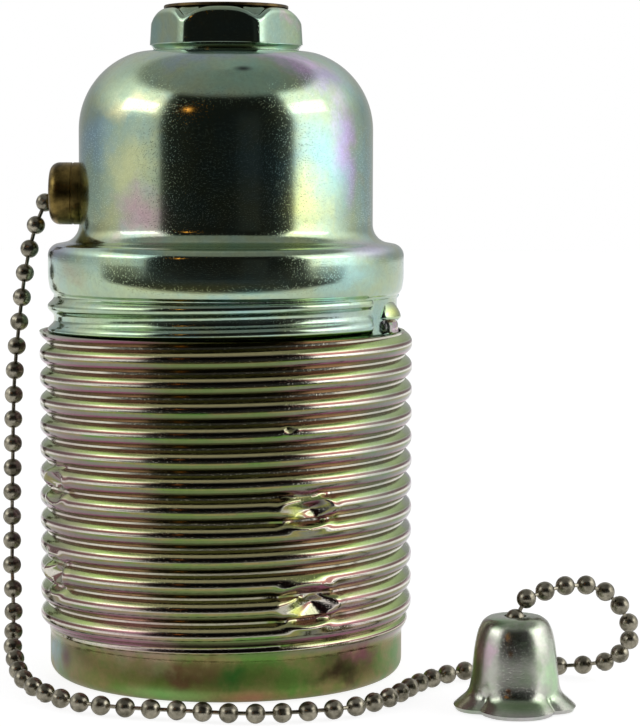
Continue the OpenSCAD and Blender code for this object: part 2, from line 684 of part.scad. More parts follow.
cap();
entry_bush();
barrel();
chain_outlet();
outlet_nut();
locking_tab();
insulator_body();
insulating_sleeve();
lamp_shell();
shell_screws();
centre_contact();
centre_screw();
terminal_block_live();
terminal_block_neutral();
terminal_screws();
earth_bracket();
bracket_screws();
earth_screw();
switch_frame();
frame_rivets();
rotor_pin();
pull_arm();
drive_pawl();
return_spring();
ratchet_wheel();
cam_rotor();
detent_spring();
moving_contact();
fixed_contact();
contact_screws();
pull_chain();
chain_coupling();
pull_bell();
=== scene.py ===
import math
import random

import bmesh
import bpy
from mathutils import Matrix, Vector


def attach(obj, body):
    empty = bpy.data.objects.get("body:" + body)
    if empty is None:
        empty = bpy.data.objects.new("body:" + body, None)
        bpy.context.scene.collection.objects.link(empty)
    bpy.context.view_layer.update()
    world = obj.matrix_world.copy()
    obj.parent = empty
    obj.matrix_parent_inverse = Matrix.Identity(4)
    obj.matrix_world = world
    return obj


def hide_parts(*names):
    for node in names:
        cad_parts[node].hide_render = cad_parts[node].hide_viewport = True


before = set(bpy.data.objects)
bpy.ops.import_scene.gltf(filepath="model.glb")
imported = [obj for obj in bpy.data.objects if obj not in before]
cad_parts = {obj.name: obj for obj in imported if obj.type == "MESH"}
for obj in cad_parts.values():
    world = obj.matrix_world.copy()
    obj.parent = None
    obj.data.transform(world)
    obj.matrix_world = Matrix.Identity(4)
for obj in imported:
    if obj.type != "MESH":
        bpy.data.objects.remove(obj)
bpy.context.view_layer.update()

# The table and the light. The lamp holder stands on a white table in a room with bright
# sides and a dark front: the plating shows the front as the black upright band in its
# middle and the sides as the pale flanks. Two soft boxes light it from above.
MM = 0.001


def colour(code, strength=1):
    """An sRGB hex colour as the linear one that a shader takes, times a strength."""
    parts = [int(code[i:i + 2], 16) / 255 for i in (1, 3, 5)]
    parts = [p / 12.92 if p < 0.04045 else ((p + 0.055) / 1.055) ** 2.4 for p in parts]
    return [strength * p for p in parts] + [1]


def feed(tree, node, inputs):
    """Gives the node's inputs their values or links."""
    for name, value in inputs.items():
        if isinstance(value, bpy.types.NodeSocket):
            tree.links.new(value, node.inputs[name])
        else:
            node.inputs[name].default_value = value


def add(tree, kind, inputs=None, **settings):
    """A node of that kind, its settings made and its inputs fed."""
    made = tree.nodes.new("ShaderNode" + kind)
    for name, value in settings.items():
        setattr(made, name, value)
    feed(tree, made, inputs or {})
    return made


def fade(tree, value, low, high, first=0.0, last=1.0):
    """A value that goes smoothly from first to last as the one given goes from low to high."""
    ends = {0: value, 1: low, 2: high, 3: first, 4: last}
    return add(tree, "MapRange", ends, interpolation_type="SMOOTHSTEP").outputs[0]


def mix_in(tree, share, under, over):
    """Two colours as one: under where share is 0, over where it is 1."""
    return add(tree, "Mix", {0: share, 6: under, 7: over}, data_type="RGBA").outputs[2]


scene = bpy.context.scene
scene.view_settings.view_transform = "Standard"

# The table is matt white board. The camera sees it nearly white, with the object's soft
# shadow left in, and the metal mirrors it white near the object and dark further in front.
table_paint = bpy.data.materials.new("white_board")
table_paint.use_nodes = True
tree = table_paint.node_tree
tree.nodes.clear()
seen = add(tree, "LightPath")
where = add(tree, "SeparateXYZ", {0: add(tree, "NewGeometry").outputs["Position"]})
near = fade(tree, where.outputs[1], -0.12, -0.08, 0.05)
softened = add(tree, "MapRange", {0: seen.outputs["Is Camera Ray"], 3: 1.0, 4: 0.42})
mirrored = add(tree, "Mix", {0: seen.outputs["Is Glossy Ray"], 2: 1.0, 3: near})
grey = add(tree, "Math", {0: softened.outputs[0], 1: mirrored.outputs[0]}, operation="MULTIPLY")
board = mix_in(tree, grey.outputs[0], colour("#000000"), colour("#f2f2f4"))
matt = add(tree, "BsdfDiffuse", {"Color": board})
for_camera = add(tree, "Math", {0: seen.outputs["Is Camera Ray"], 1: 0.86}, operation="MULTIPLY")
for_metal = add(tree, "Math", {0: seen.outputs["Is Glossy Ray"], 1: 0.42}, operation="MULTIPLY")
for_metal = add(tree, "Math", {0: for_metal.outputs[0], 1: near}, operation="MULTIPLY")
glow = add(tree, "Math", {0: for_camera.outputs[0], 1: for_metal.outputs[0]}, operation="ADD")
white = add(tree, "Emission", {"Color": colour("#ffffff"), "Strength": glow.outputs[0]})
both = add(tree, "AddShader", {0: matt.outputs[0], 1: white.outputs[0]})
add(tree, "OutputMaterial", {"Surface": both.outputs[0]})

# the board's top is 0.02 mm under the object's foot, so that the two never coincide
bpy.ops.mesh.primitive_plane_add(size=1, location=(0, 0.35, -0.02 * MM))
table = bpy.context.object
table.name = "table"
table.scale = (2.4, 1.9, 1)
table.data.materials.append(table_paint)

# The room: dark in front up to half way to the ceiling, with bright soft walls at both
# sides, a dimmer wall behind and a grey ceiling. Degrees go round from the front, left
# first, and each level is a share of LIGHT.
LIGHT = 1.5
WALLS = [(-180, 0.3), (-140, 0.24), (-118, 0.27), (-102, 0.42), (-84, 0.5), (-68, 0.55), (-56, 0.5),
         (-51.5, 0.4), (-48.5, 0.05), (-42, 0.015), (-20, 0.008), (8, 0.008), (14, 0.017), (27, 0.02),
         (29, 0.009), (40, 0.012), (52, 0.05), (55.5, 0.3), (58, 1.1), (64, 1.4), (80, 1.35), (94, 1.1),
         (105, 0.75), (118, 0.46), (140, 0.3), (180, 0.3)]
HIGH_WALLS = [(-180, 0.34), (-135, 0.5), (-108, 0.8), (-90, 1.0), (-60, 1.0), (-53, 0.7), (-49, 0.08),
              (-42, 0.008), (36, 0.008), (48, 0.04), (53, 0.3), (57, 1.2), (70, 1.3), (110, 1.0),
              (135, 0.6), (180, 0.34)]
CEILING = [(-180, 0.26), (-90, 0.22), (0, 0.17), (80, 0.17), (180, 0.26)]
room = bpy.data.worlds.new("studio")
scene.world = room
room.use_nodes = True
tree = room.node_tree
tree.nodes.clear()
ways = add(tree, "TexCoord").outputs["Generated"]
parts = add(tree, "SeparateXYZ", {0: ways})
ahead = add(tree, "Math", {0: parts.outputs[1], 1: -1.0}, operation="MULTIPLY")
turn = add(tree, "Math", {0: parts.outputs[0], 1: ahead.outputs[0]}, operation="ARCTAN2")
round_about = add(tree, "MapRange", {0: turn.outputs[0], 1: -math.pi, 2: math.pi})


def ramp(tree, value, stops):
    """A colour ramp through stops, each a place from 0 to 1 and a colour."""
    made = add(tree, "ValToRGB", {0: value})
    points = made.color_ramp.elements
    while len(points) < len(stops):
        points.new(1.0)
    for point, (place, shade) in zip(points, stops):
        point.position = place
        point.color = colour(shade) if isinstance(shade, str) else shade
    return made.outputs[0]


rings = [ramp(tree, round_about.outputs[0],
              [(0.5 + turned / 360, (level, level, level, 1)) for turned, level in stops])
         for stops in (WALLS, HIGH_WALLS, CEILING)]
# higher up, the walls give way to their upper parts and those to the ceiling
whole = mix_in(tree, fade(tree, parts.outputs[2], 0.16, 0.5), rings[0], rings[1])
whole = mix_in(tree, fade(tree, parts.outputs[2], 0.66, 0.77), whole, rings[2])
# one small warm bulb far off in the dark part, which the metal picks up as orange glints
WARM_TURN = math.radians(-29)
WARM_HIGH = math.radians(25)
warm = (math.sin(WARM_TURN) * math.cos(WARM_HIGH), -math.cos(WARM_TURN) * math.cos(WARM_HIGH),
        math.sin(WARM_HIGH))
aim = add(tree, "VectorMath", {0: ways, 1: warm}, operation="DOT_PRODUCT").outputs["Value"]
for low, high, light in ((0.992, 0.9995, colour("#4b3016")), (0.9990, 0.9997, colour("#ffa34e", 2.6))):
    whole = mix_in(tree, fade(tree, aim, low, high), whole, light)
seen = add(tree, "LightPath")
shown = add(tree, "Background", {"Color": whole, "Strength": LIGHT})
white = add(tree, "Background", {"Color": colour("#ffffff"), "Strength": 1.0})
mix = add(tree, "MixShader", {0: seen.outputs["Is Camera Ray"], 1: shown.outputs[0], 2: white.outputs[0]})
add(tree, "OutputWorld", {"Surface": mix.outputs[0]})

for name, x in (("left_box", -0.66), ("right_box", 0.66)):
    lamp = bpy.data.lights.new(name, "AREA")
    lamp.shape = "RECTANGLE"
    lamp.size = 0.46
    lamp.size_y = 0.17
    lamp.energy = 0.32
    soft_box = bpy.data.objects.new(name, lamp)
    soft_box.location = (x, -0.2, 0.385)
    towards = Vector((0, 0, 0.05)) - soft_box.location
    soft_box.rotation_euler = towards.to_track_quat("-Z", "Y").to_euler()
    scene.collection.objects.link(soft_box)

# The camera's place in millimetres, tilt and roll in degrees, and focal length in pixels of
# the photograph, 727 high, all fitted to the crests of the thread.
CAMERA_AT = (9.96, -257.1, 53.36)
CAMERA_TILT = 4.59
CAMERA_ROLL = 0.15
FOCAL_PIXELS = 2425
lens = bpy.data.cameras.new("camera")
lens.sensor_width = 36
lens.lens = 36 * FOCAL_PIXELS / 727
camera = bpy.data.objects.new("camera", lens)
camera.matrix_world = (Matrix.Translation([c * MM for c in CAMERA_AT])
                       @ Matrix.Rotation(math.radians(90 - CAMERA_TILT), 4, "X")
                       @ Matrix.Rotation(math.radians(CAMERA_ROLL), 4, "Z"))
scene.collection.objects.link(camera)
scene.camera = camera

# The pull chain is a brass bead chain, nickel plated and gone dark: each bead is a strip
# rolled into a ball, with a seam down one side, and thin dumbbell pins link the beads. It
# is loose: it hangs, lies on the table and loops up into the bell.
CHAIN_ROUTE = [
    (-3.76, 0, 50.7), (-7, 0, 50.7), (-10.5, 0, 50.7), (-14, 0, 50.7),
    (-16.8, 0, 50.7), (-19.15, 0, 49.75), (-20.2, 0, 47.2), (-20.9, 0, 44.6),
    (-21.4, 0, 42), (-22, 0, 37), (-22.5, 0, 32), (-22.7, 0, 27), (-22.8, 0, 22),
    (-22.9, 0, 17), (-22.9, -0.1, 13.5), (-22.9, -0.5, 10.6), (-22.7, -1.3, 8.4),
    (-22.5, -2.6, 6.4), (-22.3, -4.4, 4.7), (-22.1, -6.6, 3.6), (-21.6, -9, 2.8),
    (-21, -11.3, 2.1), (-20.3, -13.6, 1.7), (-19.2, -15.7, 1.4), (-18, -17.6, 1.2),
    (-16.7, -19.3, 1.1), (-15, -21, 1), (-13, -22.5, 1), (-10.6, -23.8, 1),
    (-7, -24.8, 1), (-3.2, -25.6, 1), (1, -26.6, 1), (4.6, -26.8, 1), (8, -26, 1),
    (11.4, -24.9, 1), (13.6, -23.5, 1), (15.4, -21.6, 1), (17, -19.4, 1),
    (18.2, -17, 1), (19.2, -14.6, 1), (20.3, -12.3, 1), (21.7, -10.1, 1),
    (23.4, -8.1, 1), (25.7, -6.2, 1), (29, -4.8, 1), (33, -4.3, 1), (36.9, -4.5, 1.2),
    (39.3, -5.4, 1.6), (40.8, -7.2, 2.6), (41.8, -8.8, 4.1), (42, -10.4, 6),
    (41.2, -11.7, 8.1), (39.8, -12.9, 10), (37.9, -14.1, 11.2), (35.7, -15.4, 11.7),
    (33.3, -16.8, 11.5), (31.4, -18.3, 11.1), (30.3, -19.2, 10.8), (29.6, -19.8, 10.2),
    (29.35, -20, 9.4), (29.35, -20, 8.5)]
BEAD_R = 0.975
BEAD_PITCH = 2.62
PIN_R = 0.2
LAST_BEAD = 0.55


def surface(name, points, faces, material, smooth=40):
    """A mesh object from points in millimetres, its edges sharp above that angle."""
    mesh = bpy.data.meshes.new(name)
    mesh.from_pydata([[c * MM for c in p] for p in points], [], faces)
    work = bmesh.new()
    work.from_mesh(mesh)
    bmesh.ops.remove_doubles(work, verts=work.verts, dist=0.00001)
    bmesh.ops.dissolve_degenerate(work, dist=0.000004, edges=work.edges)
    bmesh.ops.recalc_face_normals(work, faces=work.faces)
    work.to_mesh(mesh)
    work.free()
    mesh.shade_smooth()
    mesh.set_sharp_from_angle(angle=math.radians(smooth))
    mesh.materials.append(material)
    made = bpy.data.objects.new(name, mesh)
    scene.collection.objects.link(made)
    return made


def finish(name):
    """A new material: itself, its node tree and its Principled shader."""
    made = bpy.data.materials.new(name)
    made.use_nodes = True
    return made, made.node_tree, made.node_tree.nodes["Principled BSDF"]


def noise(tree, where, scale, detail, rough=0.5, out=0):
    """Noise, as a value or with out=1 as a colour."""
    inputs = {"Vector": where, "Scale": scale, "Detail": detail, "Roughness": rough}
    return add(tree, "TexNoise", inputs).outputs[out]


def steps_along(route, gap):
    """Points at an even gap along a smooth line through the route, with the way it runs."""
    line = []
    for i in range(len(route) - 1):
        a, b = Vector(route[i]), Vector(route[i + 1])
        before = Vector(route[i - 1]) if i else a - (b - a)
        after = Vector(route[i + 2]) if i + 2 < len(route) else b + (b - a)
        for k in range(12):
            t = k / 12
            line.append(0.5 * (2 * a + (b - before) * t + (2 * before - 5 * a + 4 * b - after) * t * t
                               + (3 * a - before - 3 * b + after) * t ** 3))
    line.append(Vector(route[-1]))
    made, left = [], 0
    for a, b in zip(line, line[1:]):
        reach = (b - a).length
        while left <= reach:
            made.append((a + (b - a) * (left / reach), (b - a).normalized()))
            left += gap
        left -= reach
    return made


def rings_to_faces(rows, sides, closed_rows=False):
    """Quads between neighbouring rings, and from the last ring to the first if closed."""
    last = rows if closed_rows else rows - 1
    return [(i * sides + k, i * sides + (k + 1) % sides,
             (i + 1) % rows * sides + (k + 1) % sides, (i + 1) % rows * sides + k)
            for i in range(last) for k in range(sides)]


def ball_points(place, way, roll, r):
    """One bead: rings from pole to pole with a seam groove down one side."""
    turn = way.to_track_quat("Z", "Y").to_matrix() @ Matrix.Rotation(roll, 3, "Z")
    rows, sides, points = 15, 28, []
    for i in range(rows):
        a = math.radians(15 + 150 * i / (rows - 1))
        for k in range(sides):
            b = 2 * math.pi * k / sides
            seam = 0.1 * math.exp(-((min(b, 2 * math.pi - b)) / 0.13) ** 2)
            out = (r - seam) * math.sin(a)
            points.append(place + turn @ Vector((out * math.cos(b), out * math.sin(b), r * math.cos(a))))
    ends = [tuple(range(sides - 1, -1, -1)), tuple(range((rows - 1) * sides, rows * sides))]
    return points, rings_to_faces(rows, sides) + ends


def rod_points(a, b, r, sides=8):
    """A straight pin from a to b."""
    turn = (b - a).to_track_quat("Z", "Y").to_matrix()
    ring = [2 * math.pi * k / sides for k in range(sides)]
    points = [end + turn @ Vector((r * math.cos(c), r * math.sin(c), 0)) for end in (a, b) for c in ring]
    ends = [tuple(range(sides - 1, -1, -1)), tuple(range(sides, 2 * sides))]
    return points, rings_to_faces(2, sides) + ends


def gather(parts):
    """Several point and face lists as one."""
    points, faces = [], []
    for some, those in parts:
        start = len(points)
        points += some
        faces += [tuple(start + k for k in face) for face in those]
    return points, faces


dark_nickel, tree, shader = finish("darkened_nickel_plate")
where = add(tree, "TexCoord").outputs["Object"]
# handling leaves the plate mottled at about the size of a bead
mottle = noise(tree, where, 900.0, 4.0, 0.6)
tint = ramp(tree, mottle, [(0.35, "#625e50"), (0.65, "#a8a290")])
grain = noise(tree, where, 4000.0, 2.0)
bump = add(tree, "Bump", {"Height": grain, "Strength": 0.15, "Distance": 0.05 * MM})
feed(tree, shader, {"Base Color": tint, "Normal": bump.outputs[0], "Roughness": 0.28, "Metallic": 1.0})

# the last bead sits in the bell's hole, a little before the route's end
path = [place for place, _ in steps_along(CHAIN_ROUTE, 0.5)]
reach = 0.5 * (len(path) - 1) + (Vector(CHAIN_ROUTE[-1]) - path[-1]).length - LAST_BEAD
random.seed(7)
beads = steps_along(CHAIN_ROUTE, reach / round(reach / BEAD_PITCH) - 0.0001)
parts = []
for i, (place, way) in enumerate(beads):
    parts.append(ball_points(place, way, random.uniform(0, 2 * math.pi), BEAD_R))
    if i:
        parts.append(rod_points(beads[i - 1][0], place, PIN_R))
chain = surface("pull_chain_beads", *gather(parts), dark_nickel)
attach(chain, "chain")
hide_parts("pull_chain")
# The pull bell is pressed from thin steel sheet, zinc plated and passivated like the shell.
# Its rim is cut and folded into four petals with a crease between each two.
BELL_AT = Vector((29.35, -20, 0))
BELL_HOLE = 1.1
SHEET = 0.45
bell_profile = [(BELL_HOLE, 9.35), (1.6, 9.4), (2.2, 9.34), (2.62, 9.26), (2.89, 9.1), (3.2, 8.85),
                (3.42, 8.5), (3.66, 7.96), (3.82, 7.32), (3.94, 6.7), (4.04, 6.04), (4.11, 5.4),
                (4.17, 4.76), (4.23, 4.1), (4.3, 3.48), (4.36, 2.95), (4.44, 2.46), (4.57, 2.05),
                (4.81, 1.68), (5.1, 1.4), (5.44, 1.13), (5.75, 0.86), (6.05, 0.58)]


def passivated_steel(name, film, cloud_mm, patches, pit_mm, dull, painted_flank_light=(), worn_below=-1):
    """Zinc plated steel under a thin chromate film. The film's thickness shows as colour, in
    clouds and in the patches named here, each a tint, a place and a reach in millimetres and
    a share; some of the patches are painted highlights and some painted shade. In
    painted_flank_light a rolled thread's sides get painted reflections: tints, in front and at
    the sides, between two leans, that stand in for the room as the metal mirrors it. Below
    worn_below, in millimetres, the plate is rubbed dull. Pits near 0.15 mm across sparkle
    where the plating mirrors the edge of a wall."""
    made, tree, shader = finish(name)
    where = add(tree, "TexCoord").outputs["Object"]
    cloud = noise(tree, where, 1000 / cloud_mm, 5.0, 0.6)
    tint = ramp(tree, cloud, [(0.36 + 0.28 * i / (len(film) - 1), code) for i, code in enumerate(film)])
    lean = add(tree, "SeparateXYZ", {0: add(tree, "TexCoord").outputs["Normal"]}).outputs[2]
    across, _, height = add(tree, "SeparateXYZ", {0: where}).outputs
    across = add(tree, "Math", {0: across}, operation="ABSOLUTE").outputs[0]
    aside = fade(tree, across, 4 * MM, 11 * MM)
    edge = worn_below * MM
    rolled = add(tree, "MapRange", {0: height, 1: edge, 2: edge + 0.8 * MM, 4: 0.9}).outputs[0]
    # painted reflections: where the surface leans between low and high, its colour turns to a tint that
    # stands in for the room mirrored there, one tint in front and one at the sides
    for front, side, low, high in painted_flank_light:
        on = fade(tree, lean, low, high, 0.0, rolled)
        tint = mix_in(tree, on, tint, mix_in(tree, aside, colour(front), colour(side)))
    wander = noise(tree, where, 220.0, 4.0, 0.6, 1)
    wander = add(tree, "VectorMath", {0: wander, 1: (-0.5, -0.5, -0.5)}, operation="ADD")
    wander = add(tree, "VectorMath", {0: wander.outputs[0], "Scale": 7 * MM}, operation="SCALE")
    astray = add(tree, "VectorMath", {0: where, 1: wander.outputs[0]}, operation="ADD").outputs[0]
    for code, place, reach, much in patches:
        # the edges of all but the smallest patches wander by about 2 mm
        spot = astray if min(reach) > 1.4 else where
        off = add(tree, "VectorMath", {0: spot, 1: [c * MM for c in place]}, operation="SUBTRACT").outputs[0]
        size = add(tree, "VectorMath", {0: off, 1: [1 / (c * MM) for c in reach]}, operation="MULTIPLY")
        far = add(tree, "VectorMath", {0: size.outputs[0]}, operation="LENGTH").outputs["Value"]
        tint = mix_in(tree, fade(tree, far, 1.0, 0.0, 0.0, much), tint, colour(code))
    # fine mottle, near 0.5 mm, in how bright the plate is
    mottle = noise(tree, where, 2200.0, 3.0, 0.7)
    shade = add(tree, "MapRange", {0: mottle, 1: 0.3, 2: 0.7, 3: 0.93, 4: 1.06})
    tint = add(tree, "VectorMath", {0: tint, "Scale": shade.outputs[0]}, operation="SCALE").outputs[0]
    pits = add(tree, "TexVoronoi", {"Vector": where, "Scale": 5200.0}).outputs["Distance"]
    pits = fade(tree, pits, 0.0, 0.34)
    bump = add(tree, "Bump", {"Height": pits, "Strength": 1.0, "Distance": pit_mm * MM})
    gloss = add(tree, "MapRange", {0: cloud, 1: 0.35, 2: 0.65, 3: dull - 0.02, 4: dull + 0.03})
    rub = add(tree, "MapRange", {0: height, 1: edge, 2: edge - 0.6 * MM, 3: 0.0, 4: 0.2})
    gloss = add(tree, "Math", {0: gloss.outputs[0], 1: rub.outputs[0]}, operation="ADD")
    feed(tree, shader, {"Base Color": tint, "Normal": bump.outputs[0], "Roughness": gloss.outputs[0],
                        "Metallic": 1.0})
    return made


def blend(a, b, x):
    """A smooth step from 0 at a to 1 at b."""
    t = min(1, max(0, (x - a) / (b - a)))
    return t * t * (3 - 2 * t)


def dress(material, *names):
    """Gives pieces that keep their CAD shape a finish."""
    for name in names:
        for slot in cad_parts[name].material_slots:
            slot.material = material


sides = 160
points = []
for inner in (False, True):
    for r, z in (reversed(bell_profile) if inner else bell_profile):
        for k in range(sides):
            a = 2 * math.pi * k / sides
            # how near a crease, which lie on the diagonals: a wide dip and a sharp fold in it
            off = abs((a % (math.pi / 2)) - math.pi / 4)
            flare = blend(2.9, 0.9, z)
            rr = r - flare * (0.62 * math.exp(-(off / 0.3) ** 2) + 0.28 * math.exp(-(off / 0.07) ** 2))
            zz = z - flare * 0.12 * (1 - math.exp(-(off / 0.4) ** 2))
            if inner:
                rr = max(BELL_HOLE, rr - SHEET * (1 - 0.55 * flare) * blend(9.4, 8.9, z))
                zz = zz - SHEET * (blend(8.4, 9.3, z) + 0.85 * flare)
            points.append(BELL_AT + Vector((rr * math.cos(a), rr * math.sin(a), max(0, zz))))
bell_plating = passivated_steel("bell_passivated_zinc", ("#b6c2ae", "#c4c4ba", "#a8b89c"), 4, [
    ("#dab2cc", (25.9, -22.9, 6.4), (1.7, 2.6, 4.6), 0.65),
    ("#b2dca6", (32.7, -22.8, 4.2), (1.7, 2.6, 4.4), 0.75),
    ("#8fb08a", (27.0, -22.4, 9.2), (1.8, 3, 0.9), 0.7), ("#7d9a6a", (29.35, -24.8, 1.35), (7, 4, 1.0), 0.8),
    ("#7d9a6a", (24, -19, 1.3), (2.4, 6, 1.2), 0.6), ("#c6bacb", (29.35, -22, 0.3), (7, 7, 0.5), 0.95),
    ("#a06a34", (28.6, -24.2, 6.3), (0.4, 2, 0.6), 0.75),
    ("#b06c24", (28.4, -24.4, 2.7), (0.4, 2, 0.4), 0.85)],
    0.01, 0.24)
bell = surface("pull_bell_shell", points, rings_to_faces(2 * len(bell_profile), sides, True), bell_plating)
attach(bell, "chain")
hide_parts("pull_bell")
dress(dark_nickel, "chain_coupling")
route = [place * MM for place, _ in steps_along(CHAIN_ROUTE, 1.0)]

# The barrel is drawn from steel sheet, with a thread rolled in from end to end for a shade
# ring, a plain band below it and a turned-in lower edge. It is zinc plated and passivated,
# which leaves a thin film in olive, pink and blue. On the thread, tints by the lean of the
# rolled surface are painted reflections, and patches on the front punch marks are painted
# highlights and painted shade.
CREST_R = 19.75
THREAD_DEPTH = 0.8
PITCH = 2.5
BARREL_H = 36.3
BAND_R = 18.75
THREAD_FOOT = 4.3
LIP_R = 1.4
BARREL_SHEET = 0.4
COLUMNS = 360


def rolled_section(wide, straight, power):
    """Heights of a rolled thread's section from crest to root, 1 to 0: its slope grows over
    the first part, wide, holds to straight and dies away in the root, at 0.5."""
    slope = [min(1, i / 100 / wide) ** power if i / 100 < straight else (0.5 - i / 100) / (0.5 - straight)
             for i in range(51)]
    fall = [sum(slope[:i + 1]) for i in range(51)]
    return [1 - f / fall[-1] for f in fall]


SECTION = rolled_section(0.38, 0.45, 1.5)


def wave(u):
    """The rolled section at u turns: 1 on a crest, at whole numbers, and 0 in a root."""
    place = min(49.999, 100 * abs(u - round(u)))
    i = int(place)
    return SECTION[i] + (SECTION[i + 1] - SECTION[i]) * (place - i)


def crest_height(a):
    """Height of the barrel's reference crest at angle a, a right-hand helix."""
    return 34.45 + PITCH * (a - 1.5 * math.pi) / (2 * math.pi)


# punch marks that lock the sleeve, and one small nick: angle round from the front, height,
# half width, half height and depth
STAKES = [(26.6, 19.3, 2.5, 1.35, 1.0), (26.9, 9.9, 2.8, 1.75, 1.15), (-62.5, 20.8, 2.1, 1.5, 0.95),
          (-62.5, 11.6, 2.1, 1.6, 0.95), (116.6, 20.2, 2.3, 1.6, 1.0), (116.6, 10.3, 2.3, 1.6, 1.0),
          (206.6, 20.8, 2.3, 1.6, 1.0), (206.6, 10.9, 2.3, 1.6, 1.0), (20.8, 27.6, 0.55, 0.34, 0.6)]


def barrel_radius(a, z):
    """Outer radius of the barrel at angle a and height z, thread and marks included."""
    full = blend(4.3, 6.4, z)
    u = (z - crest_height(a)) / PITCH
    r = BAND_R + (CREST_R - THREAD_DEPTH - BAND_R) * full + THREAD_DEPTH * full * wave(u)
    for turn, high, wide, tall, deep in STAKES:
        across = math.remainder(a - math.radians(turn - 90), 2 * math.pi) * CREST_R
        up = z - high
        if abs(across) < 2 * wide and abs(up) < 2 * tall:
            # four flat faces meet in a pit that is off the middle, as a punch held askew leaves it
            x = across - 0.3 * wide
            y = up - 0.15 * tall
            faces = (max(0, -x) / 1.3, max(0, x) / 0.7,
                     max(0, -y) * wide / tall / 1.15, max(0, y) * wide / tall / 0.85)
            floor = CREST_R + deep * (sum(face ** 3 for face in faces) ** (1 / 3) / wide - 1)
            bulge = 0.22 * deep * math.exp(-((math.hypot(across / wide, up / tall) - 1.25) / 0.25) ** 2)
            r = min(r + bulge, floor)
    return r


def columns_to_faces(columns, rows):
    """Quads between neighbouring upright columns of points."""
    return [(i * rows + j, (i + 1) * rows + j, (i + 1) * rows + j + 1, i * rows + j + 1)
            for i in range(columns) for j in range(rows - 1)]


def helix_skin(columns, low, high, crest, radius, per_turn=13, pitch=PITCH):
    """A skin from low to high whose rows follow a helix, cut off level at both ends."""
    step = pitch / per_turn
    below = math.ceil((crest(2 * math.pi) - low) / step)
    rows = below + math.ceil((high - crest(0)) / step) + 1
    points = []
    for i in range(columns + 1):
        a = 2 * math.pi * i / columns
        for j in range(rows):
            z = min(high, max(low, crest(a) + (j - below) * step))
            r = radius(a, z)
            points.append(Vector((r * math.cos(a), r * math.sin(a), z)))
    return points, columns_to_faces(columns, rows)


def turned_skin(columns, profile):
    """A skin through rings. Each ring is (r, z), or gives them for an angle."""
    rows = len(profile)
    points = []
    for i in range(columns + 1):
        a = 2 * math.pi * i / columns
        for ring in profile:
            r, z = ring(a) if callable(ring) else ring
            points.append(Vector((r * math.cos(a), r * math.sin(a), z)))
    return points, columns_to_faces(columns, rows)


def arc_rings(r0, z0, r, start, end, count):
    """Rings round a corner of radius r about (r0, z0), from one angle to another."""
    turns = [math.radians(start + (end - start) * i / count) for i in range(count + 1)]
    return [(r0 + r * math.cos(a), z0 + r * math.sin(a)) for a in turns]


barrel_plating = passivated_steel("barrel_passivated_zinc", ("#728843", "#908556", "#638a40"), 7, [
    ("#59642f", (0, -18.7, 2.4), (17, 8, 2.8), 0.75),
    ("#8f7478", (-16, -11, 20), (6, 7, 26), 0.5), ("#7b8a86", (16, -11, 24), (5, 8, 22), 0.45),
    ("#7fa0a4", (-17.5, -6, 3.2), (3, 6, 2.2), 0.9), ("#5c3a44", (-16.2, -9.2, 3), (1.3, 3, 2), 0.8),
    ("#6a3f36", (-4, -18.6, 3.2), (5, 4, 1.8), 0.8), ("#35702f", (1.5, -18.7, 2.6), (2.6, 4, 2), 0.85),
    ("#7fb56a", (-6, -17.5, 0.8), (9, 5, 1.2), 0.6), ("#a5705a", (3, -18, 0.6), (5, 5, 1.1), 0.7),
    ("#8a4a62", (14, -12.6, 3.8), (3, 4, 1.6), 0.8), ("#3c2a24", (12, -14, 2.4), (5, 5, 1.8), 0.85),
    # the dark patches in the small nick and in the two front punch marks are painted shade, and the
    # yellow-green patches on those marks are painted highlights
    ("#2a2418", (7.0, -18.4, 27.6), (0.75, 1.2, 0.4), 0.85),
    ("#c4d068", (7.7, -18.0, 19.3), (1.2, 1.5, 1.3), 0.8),
    ("#c4d068", (7.7, -18.0, 9.7), (1.3, 1.5, 1.6), 0.8),
    ("#1c1610", (9.9, -17.1, 20.0), (1.0, 1.5, 0.7), 0.95),
    ("#1c1610", (9.9, -17.1, 10.7), (1.1, 1.5, 0.8), 0.95),
    ("#9f96ac", (-19.4, 0, 18), (1.8, 8, 24), 0.8), ("#9f96ac", (19.4, 0, 18), (1.8, 8, 24), 0.8),
    ("#b98a9a", (-9, -17, 7), (9, 5, 5), 0.45), ("#b98a9a", (13, -14, 9), (6, 5, 6), 0.4)],
    # the tints by lean that follow are painted reflections and painted shade: pale on upright faces, dark
    # brown on faces leaning slightly up, tans and greens further up and down
    0.01, 0.13, [("#a8a494", "#e9e5d8", -0.06, 0.02), ("#4c4034", "#743a30", 0.1, 0.2),
                 ("#b8b28c", "#c2c8a8", 0.36, 0.42), ("#dcd49c", "#98b060", 0.46, 0.56),
                 ("#66784a", "#85827a", -0.12, -0.26), ("#4a4a30", "#8c4a66", -0.42, -0.56)], 4.6)


def barrel_bore(a, z):
    """Inner radius of the barrel."""
    return barrel_radius(a, z) - BARREL_SHEET


lip = ([lambda a: (barrel_radius(a, THREAD_FOOT), THREAD_FOOT)] + [(BAND_R, 3.4), (BAND_R, 2.4)]
       + arc_rings(BAND_R - LIP_R, LIP_R, LIP_R, 0, -90, 10)
       + [(16.75, 0.0), (16.65, 0.1), (16.65, 0.35), (16.75, 0.4)]
       + arc_rings(BAND_R - LIP_R, LIP_R, LIP_R - BARREL_SHEET, -90, 0, 6)
       + [lambda a: (barrel_bore(a, THREAD_FOOT), THREAD_FOOT)])
parts = [helix_skin(COLUMNS, THREAD_FOOT, BARREL_H, crest_height, barrel_radius),
         turned_skin(COLUMNS, lip),
         helix_skin(COLUMNS, THREAD_FOOT, BARREL_H, crest_height, barrel_bore, 4),
         turned_skin(COLUMNS, [lambda a: (barrel_radius(a, BARREL_H), BARREL_H),
                               lambda a: (barrel_bore(a, BARREL_H), BARREL_H)])]
barrel = surface("barrel_shell", *gather(parts), barrel_plating)
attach(barrel, "housing")
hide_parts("barrel")

